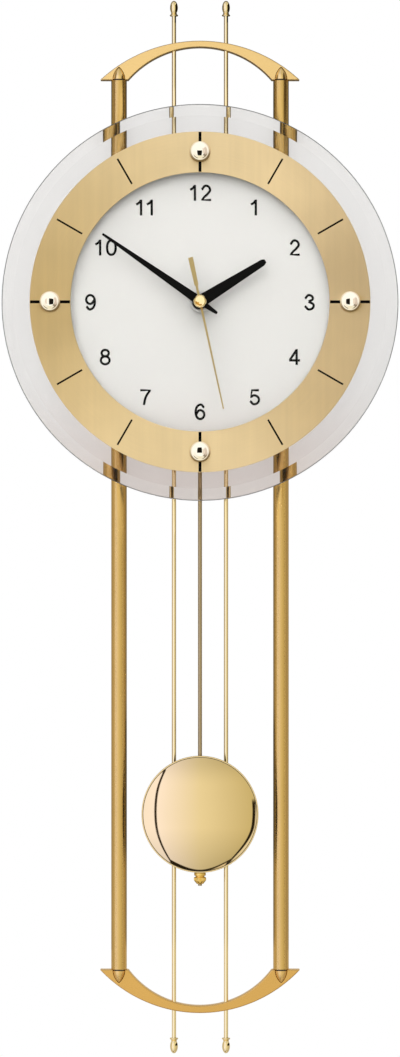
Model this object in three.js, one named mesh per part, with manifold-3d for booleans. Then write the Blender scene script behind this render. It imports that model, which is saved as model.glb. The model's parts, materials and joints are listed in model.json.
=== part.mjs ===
// A radio-controlled pendulum wall clock: a bevelled glass dial on a frame of two brass tubes,
// with a two-motor movement, three hands and a pendulum that swings below the dial.
// Millimetres. +Z is up, the dial faces -Y and the wall is the plane Y = 0.
// The origin is on the rear face of the hanger bar, just above the keyhole for the wall screw.
// Inside the clock, heights are measured from the hand arbor and depths from the wall, so that
// a point at depth d has Y = -d.
import * as THREE from "three";
import { mergeVertices } from "three/addons/utils/BufferGeometryUtils.js";
import Module from "manifold-3d";

const wasm = await Module();
wasm.setup();

// Clearances
const SEAT_GAP = 0.1; // between faces that rest on each other
const FIT_GAP = 0.2; // radial, a fixed piece in its hole
const RUN_GAP = 0.25; // radial, a turning or sliding piece in its bearing
const END_GAP = 0.5; // between pieces that pass each other
const JOIN_LAP = 0.5; // how far two shapes of one piece run into each other
const CUT_LAP = 1; // how far a cut runs past the face that it opens

// Facets in a full turn
const LARGE_FACETS = 48;
const MEDIUM_FACETS = 20;
const SMALL_FACETS = 10;
const CORNER_FACETS = 3; // in a quarter turn

// Frame tubes
const TUBE_RADIUS = 5.1;
const TUBE_WALL = 1;
const TUBE_SPACING = 105.8;
const TUBE_TOP = 146.8;
const TUBE_BOTTOM = -433.9;

// Crescents at the ends of the tubes
const CRESCENT_OVERHANG = 12.5; // tip outside the tube axis
const CRESCENT_FOOT_INSIDE = 6.1; // inner corner of the foot inside the tube axis
const CRESCENT_RISE = 26.5;
const CRESCENT_WAIST = 3.9; // height of the band at its middle
const CRESCENT_FACE = 2.85; // front face in front of the tube axis
const CRESCENT_STEPS = 9; // points on each half arc
const BOSS_HEIGHT = 11.5;
const BOSS_STEPS = 4;
const SPIGOT_LENGTH = 12;

// Wires and their finials
const WIRE_RADIUS = 1.4;
const WIRE_SPACING = 34;
const WIRE_PROUD_TOP = 15.4; // finial beyond the crescent's crown
const WIRE_PROUD_BOTTOM = 18.2;
const FINIAL_HEIGHT = 10.1;
const FINIAL_COLLAR_RADIUS = 2.7;
const FINIAL_COLLAR_HEIGHT = 1.9;
const FINIAL_NECK_RADIUS = 1.7;
const FINIAL_NECK_HEIGHT = 0.5;
const FINIAL_EGG_RADIUS = 2.5;
const FINIAL_EGG_STEPS = 5;
const FINIAL_BORE_DEPTH = 1.4;

// Cross bars behind the tubes, and the posts that carry the dial
const BAR_THICKNESS = 2.5;
const BAR_HEIGHT = 24;
const BAR_END = 5; // bar end outside the tube axis
const BAR_CORNER = 4;
const BAR_OFFSET = 58; // bar middle above and below the arbor
const POST_CLEARANCE = 5.5; // post to the movement's case
const POST_RADIUS = 3.5;
const POST_SPIGOT_RADIUS = 1.8;
const SCREW_HEAD_RADIUS = 2.9;
const SCREW_HEAD_HEIGHT = 1;
const SCREW_RADIUS = 1.4;
const SCREW_REACH = 1.5; // beyond the tube wall
const HANGER_DROP = 3.5; // the origin below the bar's top edge
const KEYHOLE_ENTRY_RADIUS = 4.5;
const KEYHOLE_SLOT_RADIUS = 2.3;
const KEYHOLE_SEAT_DROP = 3.2; // top of the slot below the origin
const KEYHOLE_LENGTH = 8; // between the centres of the slot's end and the entry

// Dial stack
const MOVEMENT_STANDOFF = 10; // bar to the rear of the movement
const BACKING_INSET = 5.7; // inside the ring's outer edge
const BACKING_THICKNESS = 3;
const DIAL_LAP = 4.6; // dial behind the ring's inner edge
const DIAL_THICKNESS = 1;
const GLASS_RADIUS = 128;
const GLASS_THICKNESS = 6;
const GLASS_EDGE = 1.5;
const GLASS_BEVEL = 7.8;
const GLASS_MARGIN = 18.3; // clear glass outside the ring
const RING_WIDTH = 26.3;
const RING_THICKNESS = 1.2;
const STUD_BALL_RADIUS = 6.1;
const STUD_BALL_LIFT = 3.2; // ball centre in front of the ring
const STUD_SHANK_RADIUS = 1.5;
const STUD_BALL_STEPS = 5;
const STUD_GRIP = 2; // thread in the backing plate

// Concentric arbors
const ARBOR_RADIUS = 0.8;
const MINUTE_PIPE_WALL = 0.75;
const HOUR_PIPE_WALL = 0.45;
const BUSH_WALL = 1.85;
const NUT_WALL = 2;
const NUT_THICKNESS = 2.2;
const PIPE_PROUD = 0.4; // a pipe's end in front of its hand

// Hands
const HAND_THICKNESS = 0.6;
const HAND_SPACING = 2.5;
const HUB_RADIUS = 5.1;
const HOUR_HAND_ANGLE = 58.1; // degrees clockwise from twelve
const HOUR_HAND_LENGTH = 49.6;
const HOUR_HAND_ROOT = 8.2;
const HOUR_HAND_END = 4.3;
const HOUR_HAND_CHAMFER = 2;
const MINUTE_HAND_ANGLE = 304.7;
const MINUTE_HAND_LENGTH = 76.3;
const MINUTE_HAND_ROOT = 6;
const MINUTE_HAND_END = 1.5;
const MINUTE_TAIL_LENGTH = 13.5;
const MINUTE_TAIL_ROOT = 4.2;
const MINUTE_TAIL_END = 1.9;
const SECOND_HAND_ANGLE = 167.7;
const SECOND_HAND_LENGTH = 70.8;
const SECOND_HAND_ROOT = 1.3;
const SECOND_HAND_END = 0.65;
const SECOND_TAIL_START = 10.9;
const SECOND_TAIL_LENGTH = 28.8;
const SECOND_TAIL_ROOT = 2.6;
const SECOND_TAIL_END = 3.2;
const CAP_RADIUS = 4.15;
const CAP_HEIGHT = 3.2;
const CAP_RIM = 0.8; // straight part of the cap's side
const CAP_STEPS = 4;
const CAP_GRIP = 0.8; // arbor inside the cap, in front of the hand

// Movement case
const CASE_WALL = 1.5;
const CASE_CORNER = 6;
const CASE_MARGIN = 1; // above the antenna
const PIVOT_DEPTH = 0.8; // arbor end in a wall

// Wheels
const WHEEL_MODULE = 0.66;
const WHEEL_THICKNESS = 1;
const PINION_LENGTH = 1.8;
const MESH_GAP = 0.06; // added to each centre distance
const PINION_TEETH = 6;
const THIRD_TEETH = 30;
const CENTRE_TEETH = 36;
const CANNON_TEETH = 8;
const MOTION_TEETH = 24;
const MOTION_PINION_TEETH = 8;
const HOUR_TEETH = 32;
const ADDENDUM_SHARE = 0.85; // height of a tooth outside and inside the pitch circle, in modules
const DEDENDUM_SHARE = 1.2;
const TOOTH_ROOT_SHARE = 0.26; // half of a tooth's width at its root and tip, in tooth pitches
const TOOTH_TIP_SHARE = 0.1;
const MOTION_STUD_RADIUS = 0.9;
const FIRST_LAYER = 3.5; // rear cover to the middle of the first wheel
const LAYER_GAP = 1.2; // between a pinion and the next wheel
const THIRD_ANGLE = 20; // degrees below the horizontal, seen from the arbor
const ROTOR_ANGLE = 70; // degrees below the horizontal, seen from the third wheel

// Motors
const ROTOR_RADIUS = 3;
const ROTOR_LENGTH = 4;
const ROTOR_PINION_GAP = 1.5; // middle of the pinion to the magnet
const STATOR_THICKNESS = 1;
const STATOR_HALF_WIDTH = 7.5;
const STATOR_ABOVE = 5.5;
const STATOR_CORE_TOP = 16; // below the rotor
const STATOR_CORE_HEIGHT = 4;
const STATOR_LEG = 3;
const STATOR_AIR_GAP = 0.6;
const MOTOR_COIL_WALL = 2.2;
const STATOR_POST_RADIUS = 1.6;

// Battery, antenna, circuit board and buttons
const BATTERY_RADIUS = 7.25;
const BATTERY_LENGTH = 50.5;
const BATTERY_NUB_RADIUS = 2.75;
const BATTERY_NUB_LENGTH = 1;
const BATTERY_WINDOW_MARGIN = 0.9;
const BATTERY_STANDOFF = 2; // in front of the battery, to the front wall
const SADDLE_WIDTH = 2;
const SADDLE_SHARE = 0.75; // half of its height, in radii of the piece that it holds
const SADDLE_SPACING = 30;
const CONTACT_THICKNESS = 0.4;
const CONTACT_SIZE = 10;
const CONTACT_ROOM = 2.25; // between the battery's end and the case wall
const CONTACT_TIP_RADIUS = 2.2;
const SPRING_RADIUS = 4.5;
const ANTENNA_GAP = 2; // to the battery
const ANTENNA_RADIUS = 3.5;
const ANTENNA_END_ROOM = 3.5;
const ANTENNA_COIL_RADIUS = 4.5;
const ANTENNA_COIL_LENGTH = 22;
const ANTENNA_STANDOFF = 4.5;
const ANTENNA_SADDLE_SPACING = 38;
const BOARD_HEIGHT = 19;
const BOARD_MARGIN = 2.5; // to the case walls
const BOARD_GAP = 2.6; // below the motor coils
const BOARD_THICKNESS = 1.2;
const BOARD_STANDOFF = 0.4;
const CHIP_SIZE = 6;
const CHIP_HEIGHT = 1;
const BUTTON_INSET = 6; // from the board's end
const BUTTON_RADIUS = 1.8;
const BUTTON_FLANGE_RADIUS = 2.8;
const BUTTON_FLANGE_THICKNESS = 0.8;
const BUTTON_PROUD = 1.2;
const BUTTON_TRAVEL = 0.8;

// Pendulum
const PIVOT_DROP = 1; // below the board's top edge
const PIVOT_RADIUS = 1.2;
const PIVOT_HUB_RADIUS = 3.2;
const LEVER_WIDTH = 5;
const LEVER_THICKNESS = 2;
const MAGNET_DROP = 12; // below the pivot
const MAGNET_RADIUS = 3.5;
const MAGNET_GAP = 1.1; // to the drive coil
const DRIVE_COIL_RADIUS = 6;
const DRIVE_COIL_BORE = 2.5;
const DRIVE_COIL_HEIGHT = 7;
const SWING_SLOT_WIDTH = 17;
const SWING_SLOT_DEPTH = 11;
const HOOK_DROP = 6; // below the case
const HOOK_PIN_RADIUS = 0.9;
const EYE_RADIUS = 2.6;
const EYE_THICKNESS = 2.4;
const ROD_RADIUS = 1.3;
const ROD_PROUD = 1.3; // below the rating nut
const BOB_HEIGHT = -331.6;
const BOB_RADIUS = 38;
const BOB_DOME = 9;
const BOB_SHELL = 0.8;
const BOB_RIM = 1.2;
const BOB_BACK_THICKNESS = 1;
const BOB_STEPS = 5;
const BOB_FACETS = 32;
const GUIDE_WIDTH = 7;
const GUIDE_WALL = 1.1;
const GUIDE_TOP = 30; // above the bob's middle
const RATING_GAP = 0.2; // below the bob
const RATING_COLLAR_RADIUS = 3.8;
const RATING_COLLAR_HEIGHT = 1.8;
const RATING_GROOVE_HEIGHT = 1.2;
const RATING_CHAMFER = 0.3; // at the groove's sides
const RATING_KNURL_RADIUS = 4;
const RATING_KNURL_HEIGHT = 2.2;
const RATING_CONE_HEIGHT = 2;
const RATING_GROOVE_RADIUS = 2.9;
const RATING_TIP_RADIUS = 2.2;

// Radii of the pipes round the second hand's arbor
const minutePipeRadius = ARBOR_RADIUS + RUN_GAP + MINUTE_PIPE_WALL;
const hourPipeRadius = minutePipeRadius + RUN_GAP + HOUR_PIPE_WALL;
const bushRadius = hourPipeRadius + RUN_GAP + BUSH_WALL;
const bushHole = bushRadius + FIT_GAP;
const nutRadius = bushHole + NUT_WALL;

// Depths of the frame and of the movement's layers
const tubeDepth = BAR_THICKNESS + SEAT_GAP + TUBE_RADIUS;
const tubeRear = tubeDepth - TUBE_RADIUS;
const caseBack = BAR_THICKNESS + MOVEMENT_STANDOFF;
const coverInner = caseBack + CASE_WALL;
const layerPitch = PINION_LENGTH / 2 + WHEEL_THICKNESS / 2 + LAYER_GAP;
const [layerA, layerB, layerC, layerD, layerE, layerF] = [0, 1, 2, 3, 4, 5].map(
  (layer) => coverInner + FIRST_LAYER + layer * layerPitch,
);
const frontInner = layerF + PINION_LENGTH / 2 + END_GAP;
const caseFront = frontInner + CASE_WALL;

// Depths of the dial stack and of the hands
const backingBack = caseFront + SEAT_GAP;
const backingFront = backingBack + BACKING_THICKNESS;
const dialBack = backingFront + SEAT_GAP;
const dialFront = dialBack + DIAL_THICKNESS;
const glassBack = dialFront + SEAT_GAP;
const glassFront = glassBack + GLASS_THICKNESS;
const ringBack = glassFront + SEAT_GAP;
const ringFront = ringBack + RING_THICKNESS;
const nutFront = ringBack + NUT_THICKNESS;
const bushEnd = nutFront + END_GAP;
const hourHandBack = bushEnd + END_GAP;
const minuteHandBack = hourHandBack + HAND_SPACING;
const secondHandBack = minuteHandBack + HAND_SPACING;
const secondHandFront = secondHandBack + HAND_THICKNESS;

// Depths of the pendulum
const leverBack = coverInner + END_GAP;
const leverFront = leverBack + LEVER_THICKNESS;
const rodDepth = leverFront + FIT_GAP + EYE_THICKNESS / 2;
const guideBack = rodDepth - ROD_RADIUS - RUN_GAP - GUIDE_WALL;
const bobBack = rodDepth + ROD_RADIUS + RUN_GAP + GUIDE_WALL;
const boardFront = frontInner - BOARD_STANDOFF;
const boardBack = boardFront - BOARD_THICKNESS;
const coilFront = boardBack - SEAT_GAP;
const coilBack = coilFront - DRIVE_COIL_HEIGHT;

const degrees = THREE.MathUtils.degToRad;
const halfTurn = Math.PI;

// Places of the wheels, as seen from the front
const centreDistance = (teeth, otherTeeth) => (WHEEL_MODULE * (teeth + otherTeeth)) / 2;
const motionDistance = centreDistance(MOTION_PINION_TEETH, HOUR_TEETH);
const motionModule = (2 * motionDistance) / (CANNON_TEETH + MOTION_TEETH);
const motionTip = motionModule * (MOTION_TEETH / 2 + ADDENDUM_SHARE);
const arborPlace = { x: 0, z: 0 };
const motionPlace = { x: 0, z: motionDistance + MESH_GAP };

function thirdPlace(side) {
  const distance = centreDistance(PINION_TEETH, CENTRE_TEETH) + MESH_GAP;
  const angle = degrees(THIRD_ANGLE);
  return { x: side * distance * Math.cos(angle), z: -distance * Math.sin(angle) };
}

function rotorPlace(side) {
  const distance = centreDistance(PINION_TEETH, THIRD_TEETH) + MESH_GAP;
  const angle = degrees(ROTOR_ANGLE);
  const third = thirdPlace(side);
  return { x: third.x + side * distance * Math.cos(angle), z: third.z - distance * Math.sin(angle) };
}

// Layout of the movement's case round the wheels, the battery and the board
const sides = { left: -1, right: 1 };
const levels = { upper: 1, lower: -1 };
const statorBottom = STATOR_CORE_TOP + STATOR_CORE_HEIGHT;
const motorLow = rotorPlace(sides.right).z - statorBottom - FIT_GAP - MOTOR_COIL_WALL;
const motorReach = rotorPlace(sides.right).x + STATOR_HALF_WIDTH + END_GAP;
const wallHalf = Math.max(BATTERY_LENGTH / 2 + CONTACT_ROOM, motorReach);
const caseHalf = wallHalf + CASE_WALL;
const batteryHeight = motionPlace.z + motionTip + END_GAP + BATTERY_RADIUS;
const antennaHeight = batteryHeight + BATTERY_RADIUS + ANTENNA_GAP + ANTENNA_COIL_RADIUS;
const caseTop = antennaHeight + ANTENNA_COIL_RADIUS + CASE_MARGIN + CASE_WALL;
const boardTop = motorLow - BOARD_GAP;
const boardBottom = boardTop - BOARD_HEIGHT;
const boardHalf = wallHalf - BOARD_MARGIN;
const caseBottom = boardBottom - BOARD_MARGIN - CASE_WALL;

// Heights of the pendulum
const pivotHeight = boardTop - PIVOT_DROP;
const magnetHeight = pivotHeight - MAGNET_DROP;
const hookHeight = caseBottom - HOOK_DROP;
const ratingNutTop = BOB_HEIGHT - BOB_RADIUS - RATING_GAP;
const ratingKnurlTop = ratingNutTop - RATING_COLLAR_HEIGHT - RATING_GROOVE_HEIGHT;
const ratingNutBottom = ratingKnurlTop - RATING_KNURL_HEIGHT - RATING_CONE_HEIGHT;
const rodBottom = ratingNutBottom - ROD_PROUD;

// Frame, support and dial
const finialTop = TUBE_TOP + CRESCENT_RISE + WIRE_PROUD_TOP + FINIAL_HEIGHT;
const finialBottom = TUBE_BOTTOM - CRESCENT_RISE - WIRE_PROUD_BOTTOM - FINIAL_HEIGHT;
const hangerHeight = BAR_OFFSET + BAR_HEIGHT / 2 - HANGER_DROP;
const postX = caseHalf + POST_CLEARANCE + POST_RADIUS;
const ringOuterRadius = GLASS_RADIUS - GLASS_MARGIN;
const ringInnerRadius = ringOuterRadius - RING_WIDTH;
const dialRadius = ringInnerRadius + DIAL_LAP;
const backingRadius = ringOuterRadius - BACKING_INSET;
const studCircleRadius = (ringOuterRadius + ringInnerRadius) / 2;

// Builds a closed solid from a geometry's triangles, with its faces turned outwards.
function solid(geometry) {
  geometry.deleteAttribute("normal");
  geometry.deleteAttribute("uv");
  const merged = mergeVertices(geometry, 1e-4);
  const points = Float32Array.from(merged.getAttribute("position").array);
  const corners = merged.getIndex().array;
  const [a, b, c] = [new THREE.Vector3(), new THREE.Vector3(), new THREE.Vector3()];
  const triangles = [];
  let volume = 0;
  for (let i = 0; i < corners.length; i += 3) {
    const [p, q, r] = corners.slice(i, i + 3);
    if (p === q || q === r || r === p) continue;
    triangles.push([p, q, r]);
    a.fromArray(points, 3 * p);
    b.fromArray(points, 3 * q);
    c.fromArray(points, 3 * r);
    volume += a.dot(b.cross(c));
  }
  const outward = ([p, q, r]) => (volume > 0 ? [p, q, r] : [p, r, q]);
  const triVerts = Uint32Array.from(triangles.flatMap(outward));
  return new wasm.Manifold(new wasm.Mesh({ numProp: 3, vertProperties: points, triVerts }));
}

function asSolid(shape) {
  return shape.isBufferGeometry ? solid(shape) : shape;
}

function join(...shapes) {
  return shapes.map(asSolid).reduce((whole, shape) => whole.add(shape));
}

function cut(shape, ...tools) {
  return tools.map(asSolid).reduce((whole, tool) => whole.subtract(tool), asSolid(shape));
}

function block(xFrom, xTo, depthFrom, depthTo, zFrom, zTo) {
  const geometry = new THREE.BoxGeometry(xTo - xFrom, depthTo - depthFrom, zTo - zFrom);
  return geometry.translate((xFrom + xTo) / 2, -(depthFrom + depthTo) / 2, (zFrom + zTo) / 2);
}

// Round bars along the depth, the height and the width.
function barAlongDepth(radius, depthFrom, depthTo, facets = SMALL_FACETS) {
  const geometry = new THREE.CylinderGeometry(radius, radius, depthTo - depthFrom, facets);
  return geometry.translate(0, -(depthFrom + depthTo) / 2, 0);
}

function barAlongHeight(radius, zFrom, zTo, facets = SMALL_FACETS) {
  const geometry = new THREE.CylinderGeometry(radius, radius, zTo - zFrom, facets);
  return geometry.rotateX(halfTurn / 2).translate(0, 0, (zFrom + zTo) / 2);
}

function barAlongWidth(radius, xFrom, xTo, facets = SMALL_FACETS) {
  const geometry = new THREE.CylinderGeometry(radius, radius, xTo - xFrom, facets);
  return geometry.rotateZ(halfTurn / 2).translate((xFrom + xTo) / 2, 0, 0);
}

// Turned pieces: a profile of radius and depth about Y, or of radius and height about Z.
function turnedAlongDepth(profile, facets = SMALL_FACETS) {
  const points = profile.map(([radius, depth]) => new THREE.Vector2(radius, -depth));
  return new THREE.LatheGeometry(points, facets);
}

function turnedAlongHeight(profile, facets = SMALL_FACETS) {
  const points = profile.map(([radius, height]) => new THREE.Vector2(radius, height));
  return new THREE.LatheGeometry(points, facets).rotateX(halfTurn / 2);
}

function ring(outerRadius, innerRadius, depthFrom, depthTo, facets = SMALL_FACETS) {
  const profile = [
    [innerRadius, depthFrom],
    [outerRadius, depthFrom],
    [outerRadius, depthTo],
    [innerRadius, depthTo],
    [innerRadius, depthFrom],
  ];
  return turnedAlongDepth(profile, facets);
}

// An outline drawn in width and height, extruded from one depth to another.
function plate(outline, depthFrom, depthTo, arcPoints = SMALL_FACETS) {
  const geometry = new THREE.ExtrudeGeometry(outline, {
    depth: depthTo - depthFrom,
    bevelEnabled: false,
    curveSegments: arcPoints,
  });
  return geometry.rotateX(halfTurn / 2).translate(0, -depthFrom, 0);
}

function outlineOf(points) {
  return new THREE.Shape(points.map(([x, z]) => new THREE.Vector2(x, z)));
}

function roundedRectangle(xFrom, xTo, zFrom, zTo, corner) {
  const outline = new THREE.Shape();
  outline.absarc(xTo - corner, zTo - corner, corner, 0, halfTurn / 2);
  outline.absarc(xFrom + corner, zTo - corner, corner, halfTurn / 2, halfTurn);
  outline.absarc(xFrom + corner, zFrom + corner, corner, halfTurn, 1.5 * halfTurn);
  outline.absarc(xTo - corner, zFrom + corner, corner, 1.5 * halfTurn, 2 * halfTurn);
  return outline;
}

function finish(color, roughness, metalness) {
  return new THREE.MeshStandardMaterial({ color, roughness, metalness });
}

const satinBrass = () => finish(0xe0be7c, 0.35, 1);
const polishedBrass = () => finish(0xe8c780, 0.12, 1);
const bronze = () => finish(0xaa9470, 0.45, 1);
const blackPaint = () => finish(0x121211, 0.4, 0);
const steel = () => finish(0xb4b6b8, 0.4, 1);
const blackPlastic = () => finish(0x222224, 0.55, 0);
const whitePlastic = () => finish(0xe8e6e0, 0.5, 0);
const copper = () => finish(0xb4673a, 0.4, 1);

function addPiece(group, name, shape, material, place = {}) {
  const { vertProperties, triVerts } = asSolid(shape).getMesh();
  const geometry = new THREE.BufferGeometry();
  geometry.setAttribute("position", new THREE.BufferAttribute(Float32Array.from(vertProperties), 3));
  geometry.setIndex(new THREE.BufferAttribute(Uint32Array.from(triVerts), 1));
  geometry.computeVertexNormals();
  const mesh = new THREE.Mesh(geometry, material);
  mesh.name = name;
  mesh.position.set(place.x ?? 0, -(place.depth ?? 0), place.z ?? 0);
  mesh.rotation.y = place.turn ?? 0;
  group.add(mesh);
}

// Frame: two tubes between two crescents, with two wires through them

const crescentHalfWidth = TUBE_SPACING / 2 + CRESCENT_OVERHANG;
const crescentInnerHalf = TUBE_SPACING / 2 - CRESCENT_FOOT_INSIDE;

// Points of an arc over a chord from -half to +half, from its right end to its left end.
function archPoints(half, rise) {
  const radius = (half ** 2 + rise ** 2) / (2 * rise);
  const spread = Math.asin(half / radius);
  const count = 2 * CRESCENT_STEPS;
  return Array.from({ length: count + 1 }, (_, step) => {
    const angle = spread * (1 - (2 * step) / count);
    return [radius * Math.sin(angle), radius * Math.cos(angle) - radius + rise];
  });
}

// The crescent stands on its feet at height 0, with the tubes' axes at depth tubeDepth.
function crescentShape() {
  const outer = archPoints(crescentHalfWidth, CRESCENT_RISE);
  const inner = archPoints(crescentInnerHalf, CRESCENT_RISE - CRESCENT_WAIST);
  const outline = outlineOf([...outer, ...inner.reverse()]);
  const front = tubeDepth + CRESCENT_FACE;
  let shape = solid(plate(outline, tubeRear, front));
  for (const side of Object.values(sides)) {
    const x = (side * TUBE_SPACING) / 2;
    const ogive = solid(bossShape().translate(x, -tubeDepth, 0));
    const boss = ogive.intersect(solid(plate(outline, tubeRear, tubeDepth + TUBE_RADIUS)));
    const spigotRadius = TUBE_RADIUS - TUBE_WALL - FIT_GAP;
    const spigot = barAlongHeight(spigotRadius, -SPIGOT_LENGTH, SEAT_GAP, MEDIUM_FACETS);
    const wireHole = barAlongHeight(WIRE_RADIUS + FIT_GAP, -SPIGOT_LENGTH, 2 * CRESCENT_RISE);
    shape = join(shape, boss, spigot.translate(x, -tubeDepth, 0));
    shape = cut(shape, wireHole.translate((side * WIRE_SPACING) / 2, -tubeDepth, 0));
  }
  return shape;
}

// The bullet-shaped boss that carries on the tube's round over the crescent.
function bossShape() {
  const arcRadius = (TUBE_RADIUS ** 2 + BOSS_HEIGHT ** 2) / (2 * TUBE_RADIUS);
  const flank = Array.from({ length: BOSS_STEPS }, (_, step) => {
    const height = (BOSS_HEIGHT * step) / BOSS_STEPS;
    return [Math.sqrt(arcRadius ** 2 - height ** 2) - arcRadius + TUBE_RADIUS, height];
  });
  return turnedAlongHeight([[0, 0], ...flank, [0, BOSS_HEIGHT]], MEDIUM_FACETS);
}

function tubeShape(x) {
  const outside = barAlongHeight(TUBE_RADIUS, TUBE_BOTTOM + SEAT_GAP, TUBE_TOP - SEAT_GAP, MEDIUM_FACETS);
  const bore = TUBE_RADIUS - TUBE_WALL;
  const inside = barAlongHeight(bore, TUBE_BOTTOM - CUT_LAP, TUBE_TOP + CUT_LAP, MEDIUM_FACETS);
  const screwHoles = Object.values(levels).map((level) =>
    barAlongDepth(SCREW_RADIUS + FIT_GAP, 0, tubeDepth).translate(x, 0, level * BAR_OFFSET),
  );
  return cut(outside.translate(x, -tubeDepth, 0), inside.translate(x, -tubeDepth, 0), ...screwHoles);
}

// A collar and an egg on a short neck; the egg is an ellipse cut off at the neck.
function finialShape() {
  const shoulder = FINIAL_COLLAR_HEIGHT + FINIAL_NECK_HEIGHT;
  const start = -Math.acos(FINIAL_NECK_RADIUS / FINIAL_EGG_RADIUS);
  const halfHeight = (FINIAL_HEIGHT - shoulder) / (1 - Math.sin(start));
  const egg = Array.from({ length: FINIAL_EGG_STEPS }, (_, step) => {
    const angle = start + ((halfTurn / 2 - start) * step) / FINIAL_EGG_STEPS;
    return [FINIAL_EGG_RADIUS * Math.cos(angle), FINIAL_HEIGHT - halfHeight * (1 - Math.sin(angle))];
  });
  const profile = [
    [0, 0],
    [FINIAL_COLLAR_RADIUS, 0],
    [FINIAL_COLLAR_RADIUS, FINIAL_COLLAR_HEIGHT],
    ...egg,
    [0, FINIAL_HEIGHT],
  ];
  const bore = barAlongHeight(WIRE_RADIUS + FIT_GAP, -CUT_LAP, FINIAL_BORE_DEPTH);
  return cut(turnedAlongHeight(profile), bore);
}

function buildFrame() {
  const frame = new THREE.Group();
  addPiece(frame, "top_crescent", crescentShape(), satinBrass(), { z: TUBE_TOP });
  addPiece(frame, "bottom_crescent", crescentShape(), satinBrass(), { z: TUBE_BOTTOM, turn: halfTurn });
  const wireEnd = FINIAL_HEIGHT - FINIAL_BORE_DEPTH + SEAT_GAP;
  for (const [sideName, side] of Object.entries(sides)) {
    const tubeX = (side * TUBE_SPACING) / 2;
    addPiece(frame, `${sideName}_tube`, tubeShape(tubeX), satinBrass());
    const wireX = (side * WIRE_SPACING) / 2;
    const wire = barAlongHeight(WIRE_RADIUS, finialBottom + wireEnd, finialTop - wireEnd);
    addPiece(frame, `${sideName}_wire`, wire.translate(wireX, -tubeDepth, 0), polishedBrass());
    const topFinial = { x: wireX, depth: tubeDepth, z: finialTop - FINIAL_HEIGHT };
    const bottomFinial = { x: wireX, depth: tubeDepth, z: finialBottom + FINIAL_HEIGHT, turn: halfTurn };
    addPiece(frame, `top_${sideName}_finial`, finialShape(), polishedBrass(), topFinial);
    addPiece(frame, `bottom_${sideName}_finial`, finialShape(), polishedBrass(), bottomFinial);
  }
  return frame;
}

// Cross bars on the wall side of the tubes, their screws, and the posts to the dial

const screwHeadSeat = SCREW_HEAD_HEIGHT + 2 * SEAT_GAP;

function barShape(level) {
  const half = TUBE_SPACING / 2 + BAR_END;
  const z = level * BAR_OFFSET;
  const outline = roundedRectangle(-half, half, z - BAR_HEIGHT / 2, z + BAR_HEIGHT / 2, BAR_CORNER);
  const through = BAR_THICKNESS + CUT_LAP;
  const holes = Object.values(sides).flatMap((side) => {
    const tubeX = (side * TUBE_SPACING) / 2;
    const x = side * postX;
    return [
      barAlongDepth(SCREW_RADIUS + FIT_GAP, -CUT_LAP, through).translate(tubeX, 0, z),
      barAlongDepth(SCREW_HEAD_RADIUS + FIT_GAP, -CUT_LAP, screwHeadSeat).translate(tubeX, 0, z),
      barAlongDepth(POST_SPIGOT_RADIUS + FIT_GAP, -CUT_LAP, through).translate(x, 0, z),
    ];
  });
  return cut(plate(outline, 0, BAR_THICKNESS, CORNER_FACETS), ...holes);
}

function keyholeTools() {
  const slotHeight = hangerHeight - KEYHOLE_SEAT_DROP - KEYHOLE_SLOT_RADIUS;
  const entryHeight = slotHeight - KEYHOLE_LENGTH;
  const through = BAR_THICKNESS + CUT_LAP;
  return [
    barAlongDepth(KEYHOLE_ENTRY_RADIUS, -CUT_LAP, through, MEDIUM_FACETS).translate(0, 0, entryHeight),
    barAlongDepth(KEYHOLE_SLOT_RADIUS, -CUT_LAP, through).translate(0, 0, slotHeight),
    block(-KEYHOLE_SLOT_RADIUS, KEYHOLE_SLOT_RADIUS, -CUT_LAP, through, entryHeight, slotHeight),
  ];
}

function tubeScrewShape() {
  const reach = tubeRear + TUBE_WALL + SCREW_REACH;
  const profile = [
    [0, SEAT_GAP],
    [SCREW_HEAD_RADIUS, SEAT_GAP],
    [SCREW_HEAD_RADIUS, SEAT_GAP + SCREW_HEAD_HEIGHT],
    [SCREW_RADIUS, SEAT_GAP + SCREW_HEAD_HEIGHT],
    [SCREW_RADIUS, reach],
    [0, reach],
  ];
  return turnedAlongDepth(profile);
}

function postShape() {
  const rearShoulder = BAR_THICKNESS + SEAT_GAP;
  const frontShoulder = backingBack - SEAT_GAP;
  const profile = [
    [0, SEAT_GAP],
    [POST_SPIGOT_RADIUS, SEAT_GAP],
    [POST_SPIGOT_RADIUS, rearShoulder],
    [POST_RADIUS, rearShoulder],
    [POST_RADIUS, frontShoulder],
    [POST_SPIGOT_RADIUS, frontShoulder],
    [POST_SPIGOT_RADIUS, backingFront - SEAT_GAP],
    [0, backingFront - SEAT_GAP],
  ];
  return turnedAlongDepth(profile);
}

function buildSupport() {
  const support = new THREE.Group();
  addPiece(support, "hanger_bar", cut(barShape(levels.upper), ...keyholeTools()), steel());
  addPiece(support, "lower_bar", barShape(levels.lower), steel());
  for (const [levelName, level] of Object.entries(levels)) {
    for (const [sideName, side] of Object.entries(sides)) {
      const z = level * BAR_OFFSET;
      const screwPlace = { x: (side * TUBE_SPACING) / 2, z };
      const postPlace = { x: side * postX, z };
      addPiece(support, `${levelName}_${sideName}_tube_screw`, tubeScrewShape(), steel(), screwPlace);
      addPiece(support, `${levelName}_${sideName}_post`, postShape(), steel(), postPlace);
    }
  }
  return support;
}

// Dial: backing plate, white dial, bevelled glass, ring, ball studs and the fixing nut

const studPlaces = {
  12: { x: 0, z: studCircleRadius },
  3: { x: studCircleRadius, z: 0 },
  6: { x: 0, z: -studCircleRadius },
  9: { x: -studCircleRadius, z: 0 },
};

function studHoles(depthFrom, depthTo) {
  return Object.values(studPlaces).map(({ x, z }) =>
    barAlongDepth(STUD_SHANK_RADIUS + FIT_GAP, depthFrom, depthTo).translate(x, 0, z),
  );
}

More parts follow.
